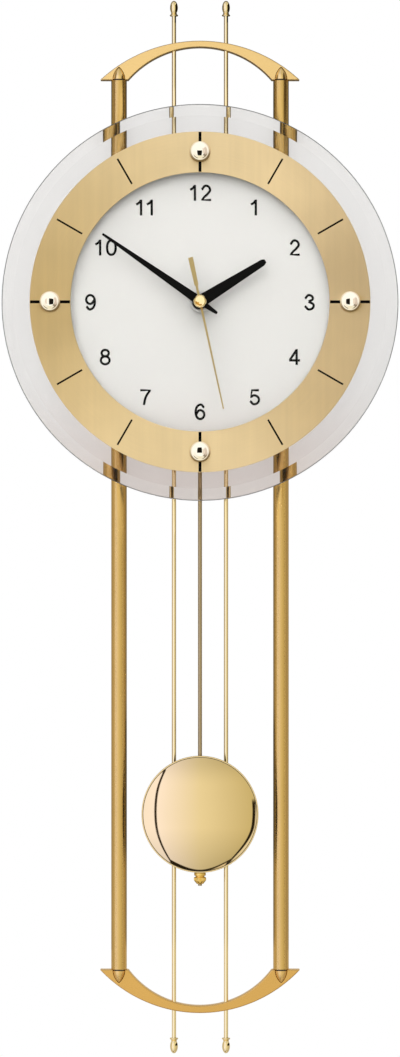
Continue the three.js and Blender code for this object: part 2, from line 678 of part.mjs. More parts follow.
function glassShape() {
  const profile = [
    [bushHole, glassBack],
    [GLASS_RADIUS, glassBack],
    [GLASS_RADIUS, glassBack + GLASS_EDGE],
    [GLASS_RADIUS - GLASS_BEVEL, glassFront],
    [bushHole, glassFront],
    [bushHole, glassBack],
  ];
  const disc = turnedAlongDepth(profile, LARGE_FACETS);
  return cut(disc, ...studHoles(glassBack - CUT_LAP, glassFront + CUT_LAP));
}

function ringShape() {
  const band = ring(ringOuterRadius, ringInnerRadius, ringBack, ringFront, LARGE_FACETS);
  return cut(band, ...studHoles(ringBack - CUT_LAP, ringFront + CUT_LAP));
}

function backingShape() {
  const disc = ring(backingRadius, bushHole, backingBack, backingFront, LARGE_FACETS);
  const postHoles = Object.values(levels).flatMap((level) =>
    Object.values(sides).map((side) => {
      const hole = barAlongDepth(POST_SPIGOT_RADIUS + FIT_GAP, backingBack - CUT_LAP, backingFront + CUT_LAP);
      return hole.translate(side * postX, 0, level * BAR_OFFSET);
    }),
  );
  return cut(disc, ...studHoles(backingBack - CUT_LAP, backingFront + CUT_LAP), ...postHoles);
}

function ballStudShape() {
  const shoulder = ringFront + SEAT_GAP;
  const start = -Math.asin(STUD_BALL_LIFT / STUD_BALL_RADIUS);
  const ball = Array.from({ length: STUD_BALL_STEPS }, (_, step) => {
    const angle = start + ((halfTurn / 2 - start) * step) / STUD_BALL_STEPS;
    const depth = shoulder + STUD_BALL_LIFT + STUD_BALL_RADIUS * Math.sin(angle);
    return [STUD_BALL_RADIUS * Math.cos(angle), depth];
  });
  const profile = [
    [0, backingFront - STUD_GRIP],
    [STUD_SHANK_RADIUS, backingFront - STUD_GRIP],
    [STUD_SHANK_RADIUS, shoulder],
    ...ball,
    [0, shoulder + STUD_BALL_LIFT + STUD_BALL_RADIUS],
  ];
  return turnedAlongDepth(profile, MEDIUM_FACETS);
}

function buildDial() {
  const dial = new THREE.Group();
  const face = ring(dialRadius, bushHole, dialBack, dialFront, LARGE_FACETS);
  const nut = ring(nutRadius, bushHole, ringBack, nutFront, MEDIUM_FACETS);
  addPiece(dial, "backing_plate", backingShape(), blackPlastic());
  addPiece(dial, "dial_face", face, finish(0xedece7, 0.6, 0));
  addPiece(dial, "glass_disc", glassShape(), finish(0xe6e3e4, 0.03, 0));
  addPiece(dial, "dial_ring", ringShape(), satinBrass());
  addPiece(dial, "fixing_nut", nut, steel());
  for (const [hour, place] of Object.entries(studPlaces)) {
    addPiece(dial, `ball_stud_${hour}`, ballStudShape(), polishedBrass(), place);
  }
  return dial;
}

// Hands, drawn pointing at twelve and turned clockwise as seen from the front

function handShape(outline, back, bore) {
  const blade = plate(outlineOf(outline), back, back + HAND_THICKNESS);
  const hub = barAlongDepth(HUB_RADIUS, back, back + HAND_THICKNESS, MEDIUM_FACETS);
  const hole = barAlongDepth(bore, back - CUT_LAP, back + HAND_THICKNESS + CUT_LAP, MEDIUM_FACETS);
  return cut(join(blade, hub), hole);
}

// Closes an outline that is given along its right side from the bottom to the top.
function mirrored(rightSide) {
  return [...rightSide, ...rightSide.map(([x, z]) => [-x, z]).reverse()];
}

function hourHandShape() {
  const outline = mirrored([
    [HOUR_HAND_ROOT / 2, 0],
    [HOUR_HAND_END / 2, HOUR_HAND_LENGTH - HOUR_HAND_CHAMFER],
    [HOUR_HAND_END / 2 - HOUR_HAND_CHAMFER / 2, HOUR_HAND_LENGTH],
  ]);
  return handShape(outline, hourHandBack, hourPipeRadius + FIT_GAP);
}

function minuteHandShape() {
  const outline = mirrored([
    [MINUTE_TAIL_END / 2, -MINUTE_TAIL_LENGTH],
    [MINUTE_TAIL_ROOT / 2, 0],
    [MINUTE_HAND_ROOT / 2, 0],
    [MINUTE_HAND_END / 2, MINUTE_HAND_LENGTH],
  ]);
  return handShape(outline, minuteHandBack, minutePipeRadius + FIT_GAP);
}

const secondArborEnd = secondHandFront + CAP_GRIP;

function secondHandShape() {
  const outline = mirrored([
    [SECOND_TAIL_END / 2, -SECOND_TAIL_LENGTH],
    [SECOND_TAIL_ROOT / 2, -SECOND_TAIL_START],
    [SECOND_HAND_ROOT / 2, -SECOND_TAIL_START],
    [SECOND_HAND_ROOT / 2, 0],
    [SECOND_HAND_END / 2, SECOND_HAND_LENGTH],
  ]);
  const blade = plate(outlineOf(outline), secondHandBack, secondHandFront);
  const dome = Array.from({ length: CAP_STEPS }, (_, step) => {
    const angle = (halfTurn / 2) * (step / CAP_STEPS);
    const height = CAP_RIM + (CAP_HEIGHT - CAP_RIM) * Math.sin(angle);
    return [CAP_RADIUS * Math.cos(angle), secondHandFront + height];
  });
  const cap = [[0, secondHandBack], [CAP_RADIUS, secondHandBack], ...dome, [0, secondHandFront + CAP_HEIGHT]];
  const bore = barAlongDepth(ARBOR_RADIUS + FIT_GAP, secondHandBack - CUT_LAP, secondArborEnd + SEAT_GAP);
  return cut(join(blade, turnedAlongDepth(cap, MEDIUM_FACETS)), bore);
}

function buildHands() {
  const hands = new THREE.Group();
  addPiece(hands, "hour_hand", hourHandShape(), blackPaint(), { turn: degrees(HOUR_HAND_ANGLE) });
  addPiece(hands, "minute_hand", minuteHandShape(), blackPaint(), { turn: degrees(MINUTE_HAND_ANGLE) });
  addPiece(hands, "second_hand", secondHandShape(), polishedBrass(), { turn: degrees(SECOND_HAND_ANGLE) });
  return hands;
}

// Wheels: each toothed layer meshes with one other, a tooth of the driver in a gap of the driven

const arborRear = coverInner - PIVOT_DEPTH;
const arborFront = frontInner + PIVOT_DEPTH;

const heading = (from, to) => Math.atan2(to.z - from.z, to.x - from.x);
const gapTowards = (from, to, teeth) => heading(from, to) + halfTurn / teeth;

// A toothed disc with one tooth pointing along toothAngle.
function toothed(teeth, module, toothAngle, depth, thickness) {
  const pitch = (2 * halfTurn) / teeth;
  const root = module * (teeth / 2 - DEDENDUM_SHARE);
  const tip = module * (teeth / 2 + ADDENDUM_SHARE);
  const corners = [
    [root, -TOOTH_ROOT_SHARE],
    [tip, -TOOTH_TIP_SHARE],
    [tip, TOOTH_TIP_SHARE],
    [root, TOOTH_ROOT_SHARE],
  ];
  const points = Array.from({ length: teeth }, (_, tooth) =>
    corners.map(([radius, share]) => {
      const angle = toothAngle + (tooth + share) * pitch;
      return [radius * Math.cos(angle), radius * Math.sin(angle)];
    }),
  );
  return plate(outlineOf(points.flat()), depth - thickness / 2, depth + thickness / 2);
}

function thirdWheelShape(side, pinionDepth, wheelDepth) {
  const here = thirdPlace(side);
  const wheelAngle = gapTowards(here, rotorPlace(side), THIRD_TEETH);
  const pinion = toothed(PINION_TEETH, WHEEL_MODULE, heading(here, arborPlace), pinionDepth, PINION_LENGTH);
  const wheel = toothed(THIRD_TEETH, WHEEL_MODULE, wheelAngle, wheelDepth, WHEEL_THICKNESS);
  return join(barAlongDepth(ARBOR_RADIUS, arborRear, arborFront), pinion, wheel);
}

// The magnet lies in front of the pinion (towards = 1) or behind it (towards = -1).
function rotorShape(side, pinionDepth, towards) {
  const pinionAngle = heading(rotorPlace(side), thirdPlace(side));
  const pinion = toothed(PINION_TEETH, WHEEL_MODULE, pinionAngle, pinionDepth, PINION_LENGTH);
  const middle = magnetDepth(pinionDepth, towards);
  const magnet = barAlongDepth(ROTOR_RADIUS, middle - ROTOR_LENGTH / 2, middle + ROTOR_LENGTH / 2);
  return join(barAlongDepth(ARBOR_RADIUS, arborRear, arborFront), pinion, magnet);
}

function magnetDepth(pinionDepth, towards) {
  return pinionDepth + towards * (ROTOR_PINION_GAP + ROTOR_LENGTH / 2);
}

function secondWheelShape() {
  const angle = gapTowards(arborPlace, thirdPlace(sides.right), CENTRE_TEETH);
  const wheel = toothed(CENTRE_TEETH, WHEEL_MODULE, angle, layerA, WHEEL_THICKNESS);
  return join(barAlongDepth(ARBOR_RADIUS, arborRear, secondArborEnd), wheel);
}

function minuteWheelShape() {
  const angle = gapTowards(arborPlace, thirdPlace(sides.left), CENTRE_TEETH);
  const cannonAngle = heading(arborPlace, motionPlace);
  const rear = layerC - WHEEL_THICKNESS / 2;
  const front = minuteHandBack + HAND_THICKNESS + PIPE_PROUD;
  const wheel = toothed(CENTRE_TEETH, WHEEL_MODULE, angle, layerC, WHEEL_THICKNESS);
  const cannon = toothed(CANNON_TEETH, motionModule, cannonAngle, layerE, PINION_LENGTH);
  const pipe = barAlongDepth(minutePipeRadius, rear, front, MEDIUM_FACETS);
  const bore = barAlongDepth(ARBOR_RADIUS + RUN_GAP, rear - CUT_LAP, front + CUT_LAP);
  return cut(join(wheel, cannon, pipe), bore);
}

function hourWheelShape() {
  const angle = gapTowards(arborPlace, motionPlace, HOUR_TEETH);
  const rear = layerF - WHEEL_THICKNESS / 2;
  const front = hourHandBack + HAND_THICKNESS + PIPE_PROUD;
  const wheel = toothed(HOUR_TEETH, WHEEL_MODULE, angle, layerF, WHEEL_THICKNESS);
  const pipe = barAlongDepth(hourPipeRadius, rear, front, MEDIUM_FACETS);
  const bore = barAlongDepth(minutePipeRadius + RUN_GAP, rear - CUT_LAP, front + CUT_LAP, MEDIUM_FACETS);
  return cut(join(wheel, pipe), bore);
}

function motionWheelShape() {
  const wheelAngle = gapTowards(motionPlace, arborPlace, MOTION_TEETH);
  const pinionAngle = heading(motionPlace, arborPlace);
  const rear = layerE - WHEEL_THICKNESS / 2;
  const front = layerF + PINION_LENGTH / 2;
  const pinionRoot = WHEEL_MODULE * (MOTION_PINION_TEETH / 2 - DEDENDUM_SHARE);
  const wheel = toothed(MOTION_TEETH, motionModule, wheelAngle, layerE, WHEEL_THICKNESS);
  const pinion = toothed(MOTION_PINION_TEETH, WHEEL_MODULE, pinionAngle, layerF, PINION_LENGTH);
  const bore = barAlongDepth(MOTION_STUD_RADIUS + RUN_GAP, rear - CUT_LAP, front + CUT_LAP);
  return cut(join(wheel, pinion, barAlongDepth(pinionRoot, rear, front)), bore);
}

function buildWheels() {
  const wheels = new THREE.Group();
  const minuteThird = thirdWheelShape(sides.left, layerC, layerD);
  const secondThird = thirdWheelShape(sides.right, layerA, layerB);
  addPiece(wheels, "second_wheel", secondWheelShape(), steel());
  addPiece(wheels, "minute_wheel", minuteWheelShape(), whitePlastic());
  addPiece(wheels, "hour_wheel", hourWheelShape(), whitePlastic());
  addPiece(wheels, "motion_wheel", motionWheelShape(), whitePlastic(), motionPlace);
  addPiece(wheels, "minute_third_wheel", minuteThird, whitePlastic(), thirdPlace(sides.left));
  addPiece(wheels, "second_third_wheel", secondThird, whitePlastic(), thirdPlace(sides.right));
  addPiece(wheels, "minute_rotor", rotorShape(sides.left, layerD, -1), steel(), rotorPlace(sides.left));
  addPiece(wheels, "second_rotor", rotorShape(sides.right, layerB, 1), steel(), rotorPlace(sides.right));
  return wheels;
}

// Motors: a stator round each rotor, with a coil on its lower bar

const minuteStatorDepth = magnetDepth(layerD, -1);
const secondStatorDepth = magnetDepth(layerB, 1);

function statorShape(depth) {
  const window = STATOR_HALF_WIDTH - STATOR_LEG;
  const windowTop = ROTOR_RADIUS + STATOR_AIR_GAP + STATOR_LEG;
  const rear = depth - STATOR_THICKNESS / 2;
  const front = depth + STATOR_THICKNESS / 2;
  return cut(
    block(-STATOR_HALF_WIDTH, STATOR_HALF_WIDTH, rear, front, -statorBottom, STATOR_ABOVE),
    barAlongDepth(ROTOR_RADIUS + STATOR_AIR_GAP, rear - CUT_LAP, front + CUT_LAP, MEDIUM_FACETS),
    block(-window, window, rear - CUT_LAP, front + CUT_LAP, -STATOR_CORE_TOP, -windowTop),
  );
}

function motorCoilShape(depth) {
  const half = STATOR_HALF_WIDTH - STATOR_LEG - RUN_GAP;
  const rear = depth - STATOR_THICKNESS / 2 - FIT_GAP;
  const front = depth + STATOR_THICKNESS / 2 + FIT_GAP;
  const low = -statorBottom - FIT_GAP;
  const high = -STATOR_CORE_TOP + FIT_GAP;
  const wall = MOTOR_COIL_WALL;
  return cut(
    block(-half, half, rear - wall, front + wall, low - wall, high + wall),
    block(-half - CUT_LAP, half + CUT_LAP, rear, front, low, high),
  );
}

function buildMotors() {
  const motors = new THREE.Group();
  const minutePlace = rotorPlace(sides.left);
  const secondPlace = rotorPlace(sides.right);
  addPiece(motors, "minute_stator", statorShape(minuteStatorDepth), steel(), minutePlace);
  addPiece(motors, "second_stator", statorShape(secondStatorDepth), steel(), secondPlace);
  addPiece(motors, "minute_coil", motorCoilShape(minuteStatorDepth), copper(), minutePlace);
  addPiece(motors, "second_coil", motorCoilShape(secondStatorDepth), copper(), secondPlace);
  return motors;
}

// Movement case, with the seats for the pieces inside it

const batteryDepth = frontInner - BATTERY_STANDOFF - BATTERY_RADIUS;
const antennaDepth = frontInner - ANTENNA_STANDOFF - ANTENNA_RADIUS;
const trainPlaces = Object.values(sides).flatMap((side) => [thirdPlace(side), rotorPlace(side)]);

function caseOutline(inset) {
  const low = caseBottom + inset;
  const high = caseTop - inset;
  return roundedRectangle(-caseHalf + inset, caseHalf - inset, low, high, CASE_CORNER - inset);
}

function pivotHole(place, depthFrom, depthTo) {
  return barAlongDepth(ARBOR_RADIUS + RUN_GAP, depthFrom, depthTo).translate(place.x, 0, place.z);
}

// A pair of cradles on the front wall for a round piece that lies across the case.
function saddles(radius, depth, height, spacing) {
  return Object.values(sides).map((side) => {
    const x = (side * spacing) / 2;
    const half = radius * SADDLE_SHARE;
    const [from, to] = [x - SADDLE_WIDTH / 2, x + SADDLE_WIDTH / 2];
    const rest = block(from, to, depth + radius / 2, frontInner + JOIN_LAP, height - half, height + half);
    const hollow = barAlongWidth(radius + FIT_GAP, from - CUT_LAP, to + CUT_LAP, MEDIUM_FACETS);
    return cut(rest, hollow.translate(0, -depth, height));
  });
}

function statorPost(side, statorDepth) {
  const place = rotorPlace(side);
  const from = statorDepth + STATOR_THICKNESS / 2 + SEAT_GAP;
  const x = place.x + side * (STATOR_HALF_WIDTH - STATOR_POST_RADIUS);
  const post = barAlongDepth(STATOR_POST_RADIUS, from, frontInner + JOIN_LAP);
  return post.translate(x, 0, place.z - STATOR_ABOVE);
}

function caseFrontShape() {
  const walls = plate(caseOutline(0), coverInner + SEAT_GAP, caseFront, CORNER_FACETS);
  const inside = plate(caseOutline(CASE_WALL), coverInner - CUT_LAP, frontInner, CORNER_FACETS);
  const motionStud = barAlongDepth(MOTION_STUD_RADIUS, layerE - WHEEL_THICKNESS, frontInner + JOIN_LAP);
  const slotBottom = caseBottom - CUT_LAP;
  const slotTop = caseBottom + CASE_WALL + CUT_LAP;
  const slotHalf = SWING_SLOT_WIDTH / 2;
  const [slotBack, slotFront] = [coverInner - CUT_LAP, coverInner + SWING_SLOT_DEPTH];
  const swingSlot = block(-slotHalf, slotHalf, slotBack, slotFront, slotBottom, slotTop);
  const boreRadius = hourPipeRadius + RUN_GAP;
  const bore = barAlongDepth(boreRadius, frontInner - CUT_LAP, bushEnd + CUT_LAP, MEDIUM_FACETS);
  const pivots = trainPlaces.map((place) => pivotHole(place, frontInner - JOIN_LAP, arborFront + FIT_GAP));
  const filled = join(
    cut(walls, inside),
    barAlongDepth(bushRadius, frontInner + JOIN_LAP, bushEnd, MEDIUM_FACETS),
    motionStud.translate(motionPlace.x, 0, motionPlace.z),
    statorPost(sides.left, minuteStatorDepth),
    statorPost(sides.right, secondStatorDepth),
    ...saddles(BATTERY_RADIUS, batteryDepth, batteryHeight, SADDLE_SPACING),
    ...saddles(ANTENNA_RADIUS, antennaDepth, antennaHeight, ANTENNA_SADDLE_SPACING),
  );
  return cut(filled, bore, swingSlot, ...pivots);
}

function buttonPlace(side) {
  return { x: side * (boardHalf - BUTTON_INSET), z: (boardTop + boardBottom) / 2 };
}

function rearCoverShape() {
  const windowHalf = BATTERY_LENGTH / 2 + BATTERY_WINDOW_MARGIN;
  const windowReach = BATTERY_RADIUS + BATTERY_WINDOW_MARGIN;
  const [low, high] = [batteryHeight - windowReach, batteryHeight + windowReach];
  const window = block(-windowHalf, windowHalf, caseBack - CUT_LAP, coverInner + CUT_LAP, low, high);
  const pivots = [arborPlace, ...trainPlaces].map((place) =>
    pivotHole(place, arborRear - FIT_GAP, coverInner + CUT_LAP),
  );
  const buttonHoles = Object.values(sides).map((side) => {
    const { x, z } = buttonPlace(side);
    const hole = barAlongDepth(BUTTON_RADIUS + RUN_GAP, caseBack - CUT_LAP, coverInner + CUT_LAP);
    return hole.translate(x, 0, z);
  });
  const pivotPin = barAlongDepth(PIVOT_RADIUS, coverInner - JOIN_LAP, leverFront + END_GAP);
  const sheet = plate(caseOutline(0), caseBack, coverInner, CORNER_FACETS);
  const cover = cut(sheet, window, ...pivots, ...buttonHoles);
  return join(cover, pivotPin.translate(0, 0, pivotHeight));
}

// Battery, contacts, antenna, circuit board and buttons

function batteryShape() {
  const half = BATTERY_LENGTH / 2;
  const body = barAlongWidth(BATTERY_RADIUS, -half, half - BATTERY_NUB_LENGTH, MEDIUM_FACETS);
  const nub = barAlongWidth(BATTERY_NUB_RADIUS, 0, half, MEDIUM_FACETS);
  return join(body, nub);
}

// A contact plate on the case's end wall, with a tip that reaches the battery.
function contactShape(side, tipRadius) {
  const wallFace = wallHalf - SEAT_GAP;
  const plateFace = wallFace - CONTACT_THICKNESS;
  const half = CONTACT_SIZE / 2;
  const tipEnd = BATTERY_LENGTH / 2 + SEAT_GAP;
  const [near, far] = side > 0 ? [plateFace, wallFace] : [-wallFace, -plateFace];
  const [tipFrom, tipTo] = side > 0 ? [tipEnd, wallFace] : [-wallFace, -tipEnd];
  return join(block(near, far, -half, half, -half, half), barAlongWidth(tipRadius, tipFrom, tipTo));
}

function antennaShape() {
  const half = wallHalf - ANTENNA_END_ROOM;
  const coilHalf = ANTENNA_COIL_LENGTH / 2;
  const core = barAlongWidth(ANTENNA_RADIUS, -half, half, MEDIUM_FACETS);
  return join(core, barAlongWidth(ANTENNA_COIL_RADIUS, -coilHalf, coilHalf, MEDIUM_FACETS));
}

function boardShape() {
  const board = block(-boardHalf, boardHalf, boardBack, boardFront, boardBottom, boardTop);
  const chipX = DRIVE_COIL_RADIUS + END_GAP;
  const chipBack = boardBack - CHIP_HEIGHT;
  const chipZ = magnetHeight - CHIP_SIZE / 2;
  const chip = block(chipX, chipX + CHIP_SIZE, chipBack, boardBack + JOIN_LAP, chipZ, chipZ + CHIP_SIZE);
  return join(board, chip);
}

function buttonShape() {
  const flangeBack = coverInner + SEAT_GAP;
  const plungerEnd = boardBack - BUTTON_TRAVEL - FIT_GAP;
  return join(
    barAlongDepth(BUTTON_RADIUS, caseBack - BUTTON_PROUD, plungerEnd),
    barAlongDepth(BUTTON_FLANGE_RADIUS, flangeBack, flangeBack + BUTTON_FLANGE_THICKNESS),
  );
}

function buildMovement() {
  const movement = new THREE.Group();
  const [left, right] = [sides.left, sides.right];
  const battery = asSolid(batteryShape());
  addPiece(movement, "case_front", caseFrontShape(), blackPlastic());
  addPiece(movement, "rear_cover", rearCoverShape(), blackPlastic());
  addPiece(movement, "circuit_board", boardShape(), finish(0x2f6b3c, 0.5, 0));
  addPiece(movement, "set_button", buttonShape(), whitePlastic(), buttonPlace(left));
  addPiece(movement, "reset_button", buttonShape(), whitePlastic(), buttonPlace(right));
  const bay = new THREE.Group();
  bay.position.set(0, -batteryDepth, batteryHeight);
  addPiece(bay, "battery", battery, finish(0x3c3f45, 0.35, 0.3));
  addPiece(bay, "positive_contact", contactShape(right, CONTACT_TIP_RADIUS), steel());
  addPiece(bay, "negative_contact", contactShape(left, SPRING_RADIUS), steel());
  const aerial = new THREE.Group();
  aerial.position.set(0, -antennaDepth, antennaHeight);
  addPiece(aerial, "ferrite_antenna", antennaShape(), finish(0x3a3635, 0.7, 0));
  movement.add(bay, aerial, buildWheels(), buildMotors());
  return movement;
}

// Pendulum: lever on the rear cover's pin, rod on the lever's hook pin, bob and rating nut on the rod

function leverShape() {
  const half = LEVER_WIDTH / 2;
  const hub = barAlongDepth(PIVOT_HUB_RADIUS, leverBack, leverFront).translate(0, 0, pivotHeight);
  const arm = block(-half, half, leverBack, leverFront, hookHeight - EYE_RADIUS, pivotHeight);
  const hookPin = barAlongDepth(HOOK_PIN_RADIUS, leverBack, rodDepth + EYE_THICKNESS / 2 + END_GAP);
  const bore = barAlongDepth(PIVOT_RADIUS + RUN_GAP, leverBack - CUT_LAP, leverFront + CUT_LAP);
  const lever = join(hub, arm, hookPin.translate(0, 0, hookHeight));
  return cut(lever, bore.translate(0, 0, pivotHeight));
}

function rodShape() {
  const half = EYE_THICKNESS / 2;
  const bar = barAlongHeight(ROD_RADIUS, rodBottom, hookHeight).translate(0, -rodDepth, 0);
  const eye = barAlongDepth(EYE_RADIUS, rodDepth - half, rodDepth + half).translate(0, 0, hookHeight);
  const hole = barAlongDepth(HOOK_PIN_RADIUS + RUN_GAP, rodDepth - 2 * half, rodDepth + 2 * half);
  return cut(join(bar, eye), hole.translate(0, 0, hookHeight));
}

// Points of a dome from its rim to its crown, the crown left out.
function domePoints(radius, rise, rimDepth) {
  const sphere = (radius ** 2 + rise ** 2) / (2 * rise);
  const spread = Math.asin(radius / sphere);
  return Array.from({ length: BOB_STEPS }, (_, step) => {
    const angle = spread * (1 - step / BOB_STEPS);
    return [sphere * Math.sin(angle), rimDepth + rise - sphere + sphere * Math.cos(angle)];
  });
}

function bobShellShape() {
  const rimDepth = bobBack + BOB_RIM;
  const crown = rimDepth + BOB_DOME;
  const innerRadius = BOB_RADIUS - BOB_SHELL;
  const profile = [
    [0, crown - BOB_SHELL],
    ...domePoints(innerRadius, BOB_DOME - BOB_SHELL, rimDepth).reverse(),
    [innerRadius, bobBack],
    [BOB_RADIUS, bobBack],
    ...domePoints(BOB_RADIUS, BOB_DOME, rimDepth),
    [0, crown],
  ];
  return turnedAlongDepth(profile, BOB_FACETS).translate(0, 0, BOB_HEIGHT);
}

function bobBackShape() {
  const radius = BOB_RADIUS - BOB_SHELL - FIT_GAP;
  const disc = barAlongDepth(radius, bobBack, bobBack + BOB_BACK_THICKNESS, BOB_FACETS);
  const half = GUIDE_WIDTH / 2;
  const guideBottom = ratingNutTop + RUN_GAP;
  const guideTop = BOB_HEIGHT + GUIDE_TOP;
  const guide = block(-half, half, guideBack, bobBack - SEAT_GAP, guideBottom, guideTop);
  const rootBottom = BOB_HEIGHT - GUIDE_TOP;
  const root = block(-half, half, guideBack, bobBack + BOB_BACK_THICKNESS / 2, rootBottom, guideTop);
  const bore = barAlongHeight(ROD_RADIUS + RUN_GAP, guideBottom - CUT_LAP, guideTop + CUT_LAP);
  return cut(join(disc.translate(0, 0, BOB_HEIGHT), guide, root), bore.translate(0, -rodDepth, 0));
}

// Collar, groove, knurled ring and cone, from the top down, with the rod's thread through it.
function ratingNutShape() {
  const bore = ROD_RADIUS + RUN_GAP;
  const collarBottom = ratingNutTop - RATING_COLLAR_HEIGHT;
  const knurlBottom = ratingKnurlTop - RATING_KNURL_HEIGHT;
  const profile = [
    [bore, ratingNutBottom],
    [RATING_TIP_RADIUS, ratingNutBottom],
    [RATING_KNURL_RADIUS, knurlBottom],
    [RATING_KNURL_RADIUS, ratingKnurlTop],
    [RATING_GROOVE_RADIUS, ratingKnurlTop + RATING_CHAMFER],
    [RATING_GROOVE_RADIUS, collarBottom - RATING_CHAMFER],
    [RATING_COLLAR_RADIUS, collarBottom],
    [RATING_COLLAR_RADIUS, ratingNutTop],
    [bore, ratingNutTop],
    [bore, ratingNutBottom],
  ];
  return turnedAlongHeight(profile, MEDIUM_FACETS).translate(0, -rodDepth, 0);
}

function buildPendulum() {
  const pendulum = new THREE.Group();
  const magnetBack = leverFront + SEAT_GAP;
  const magnet = barAlongDepth(MAGNET_RADIUS, magnetBack, coilBack - MAGNET_GAP);
  const coil = ring(DRIVE_COIL_RADIUS, DRIVE_COIL_BORE, coilBack, coilFront);
  addPiece(pendulum, "pendulum_lever", leverShape(), whitePlastic());
  addPiece(pendulum, "pendulum_magnet", magnet, steel(), { z: magnetHeight });
  addPiece(pendulum, "pendulum_coil", coil, copper(), { z: magnetHeight });
  addPiece(pendulum, "pendulum_rod", rodShape(), bronze());
  addPiece(pendulum, "bob_shell", bobShellShape(), polishedBrass());
  addPiece(pendulum, "bob_back", bobBackShape(), steel());
  addPiece(pendulum, "rating_nut", ratingNutShape(), polishedBrass());
  return pendulum;
}

const clock = new THREE.Group();
clock.name = "pendulum_wall_clock";
clock.position.z = -hangerHeight;
clock.add(buildFrame(), buildSupport(), buildDial(), buildHands(), buildMovement(), buildPendulum());

export default clock;
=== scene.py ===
import json
import math
from types import SimpleNamespace

import bmesh
import bpy
from mathutils import Matrix, Vector


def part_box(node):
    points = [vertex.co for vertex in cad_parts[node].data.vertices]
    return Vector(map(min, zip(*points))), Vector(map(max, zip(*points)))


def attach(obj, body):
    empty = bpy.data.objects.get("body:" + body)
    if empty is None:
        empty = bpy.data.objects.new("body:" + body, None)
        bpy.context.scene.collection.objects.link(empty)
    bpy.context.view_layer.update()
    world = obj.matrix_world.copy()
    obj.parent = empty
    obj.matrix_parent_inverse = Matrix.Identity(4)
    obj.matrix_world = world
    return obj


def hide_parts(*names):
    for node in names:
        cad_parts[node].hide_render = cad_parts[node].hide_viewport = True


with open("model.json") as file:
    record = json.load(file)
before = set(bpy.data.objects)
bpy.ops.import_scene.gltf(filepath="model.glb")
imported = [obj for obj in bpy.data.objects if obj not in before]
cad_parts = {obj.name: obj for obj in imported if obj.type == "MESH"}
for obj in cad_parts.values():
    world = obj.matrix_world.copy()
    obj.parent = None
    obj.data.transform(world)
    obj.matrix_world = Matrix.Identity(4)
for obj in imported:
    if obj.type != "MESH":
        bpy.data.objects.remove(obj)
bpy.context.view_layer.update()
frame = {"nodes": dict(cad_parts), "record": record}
record = frame["record"]
scene = bpy.context.scene
mm = 0.001

bodyOf = {node: body for body, nodes in record["behaviour"]["bodies"].items() for node in nodes}
sides = {"left": -1, "right": 1}
levels = ("upper", "lower")
ends = ("top", "bottom")
studHours = (12, 3, 6, 9)
buttons = ("set_button", "reset_button")


# Lengths below are millimetres: x to the right, depth out from the wall, z up

def boxOf(node):
    low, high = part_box(node)
    return SimpleNamespace(
        left=low.x / mm, right=high.x / mm, x=(low.x + high.x) / 2 / mm,
        back=-high.y / mm, front=-low.y / mm, depth=-(low.y + high.y) / 2 / mm,
        low=low.z / mm, high=high.z / mm, z=(low.z + high.z) / 2 / mm,
    )


arbor = boxOf("fixing_nut").z       # height of the hands' arbor


# Camera: straight on, as the photograph was taken

view = {"distance": 2500, "centreHeight": -212.4, "frameHeight": 680.7, "sensor": 36, "clipEnd": 50000}

eye = bpy.data.cameras.new("front_view")
eye.sensor_fit = "VERTICAL"
eye.sensor_height = view["sensor"]
eye.sensor_width = view["sensor"]
eye.lens = view["sensor"] * view["distance"] / view["frameHeight"]
eye.clip_end = view["clipEnd"] * mm
eyeObject = bpy.data.objects.new("front_view", eye)
eyeObject.location = Vector((0, -boxOf("glass_disc").front - view["distance"], view["centreHeight"])) * mm
eyeObject.rotation_euler = (math.radians(90), 0, 0)
scene.collection.objects.link(eyeObject)
scene.camera = eyeObject
scene.view_settings.view_transform = "Standard"
print("camera set")


# Node trees

def feed(tree, socket, value):
    if isinstance(value, bpy.types.NodeSocket):
        tree.links.new(value, socket)
    else:
        socket.default_value = value


def put(tree, kind, sockets=(), **settings):
    node = tree.nodes.new(kind)
    for name, value in settings.items():
        setattr(node, name, value)
    for key, value in dict(sockets).items():
        feed(tree, node.inputs[key], value)
    return node


def sums(tree, operation, first, second=0.0, third=0.0):
    return put(tree, "ShaderNodeMath", {0: first, 1: second, 2: third}, operation=operation).outputs[0]


def times(tree, first, second):
    return sums(tree, "MULTIPLY", first, second)


def ramp(tree, value, fromMin, fromMax, toMin=0.0, toMax=1.0, style="SMOOTHSTEP"):
    sockets = {"Value": value, "From Min": fromMin, "From Max": fromMax, "To Min": toMin, "To Max": toMax}
    return put(tree, "ShaderNodeMapRange", sockets, interpolation_type=style).outputs["Result"]


def evenRamp(tree, value, fromMin, fromMax, toMin=0.0, toMax=1.0):
    return ramp(tree, value, fromMin, fromMax, toMin, toMax, "LINEAR")


def blendColour(tree, share, first, second):
    node = put(tree, "ShaderNodeMix", data_type="RGBA")
    for place, value in {0: share, 6: first, 7: second}.items():
        feed(tree, node.inputs[place], value)
    return node.outputs[2]


def scaled(tree, colour, level):
    return put(tree, "ShaderNodeVectorMath", {0: colour, "Scale": level}, operation="SCALE").outputs[0]


def product(tree, first, second):
    return put(tree, "ShaderNodeVectorMath", {0: first, 1: second}, operation="MULTIPLY").outputs[0]


def joinAxes(tree, x=0.0, y=0.0, z=0.0):
    return put(tree, "ShaderNodeCombineXYZ", {0: x, 1: y, 2: z}).outputs[0]


def splitAxes(tree, vector):
    return put(tree, "ShaderNodeSeparateXYZ", {0: vector}).outputs


def objectPlace(tree):
    return put(tree, "ShaderNodeTexCoord").outputs["Object"]


def noiseOf(tree, place, scale, detail):
    return put(tree, "ShaderNodeTexNoise", {"Vector": place, "Scale": scale, "Detail": detail}).outputs[0]


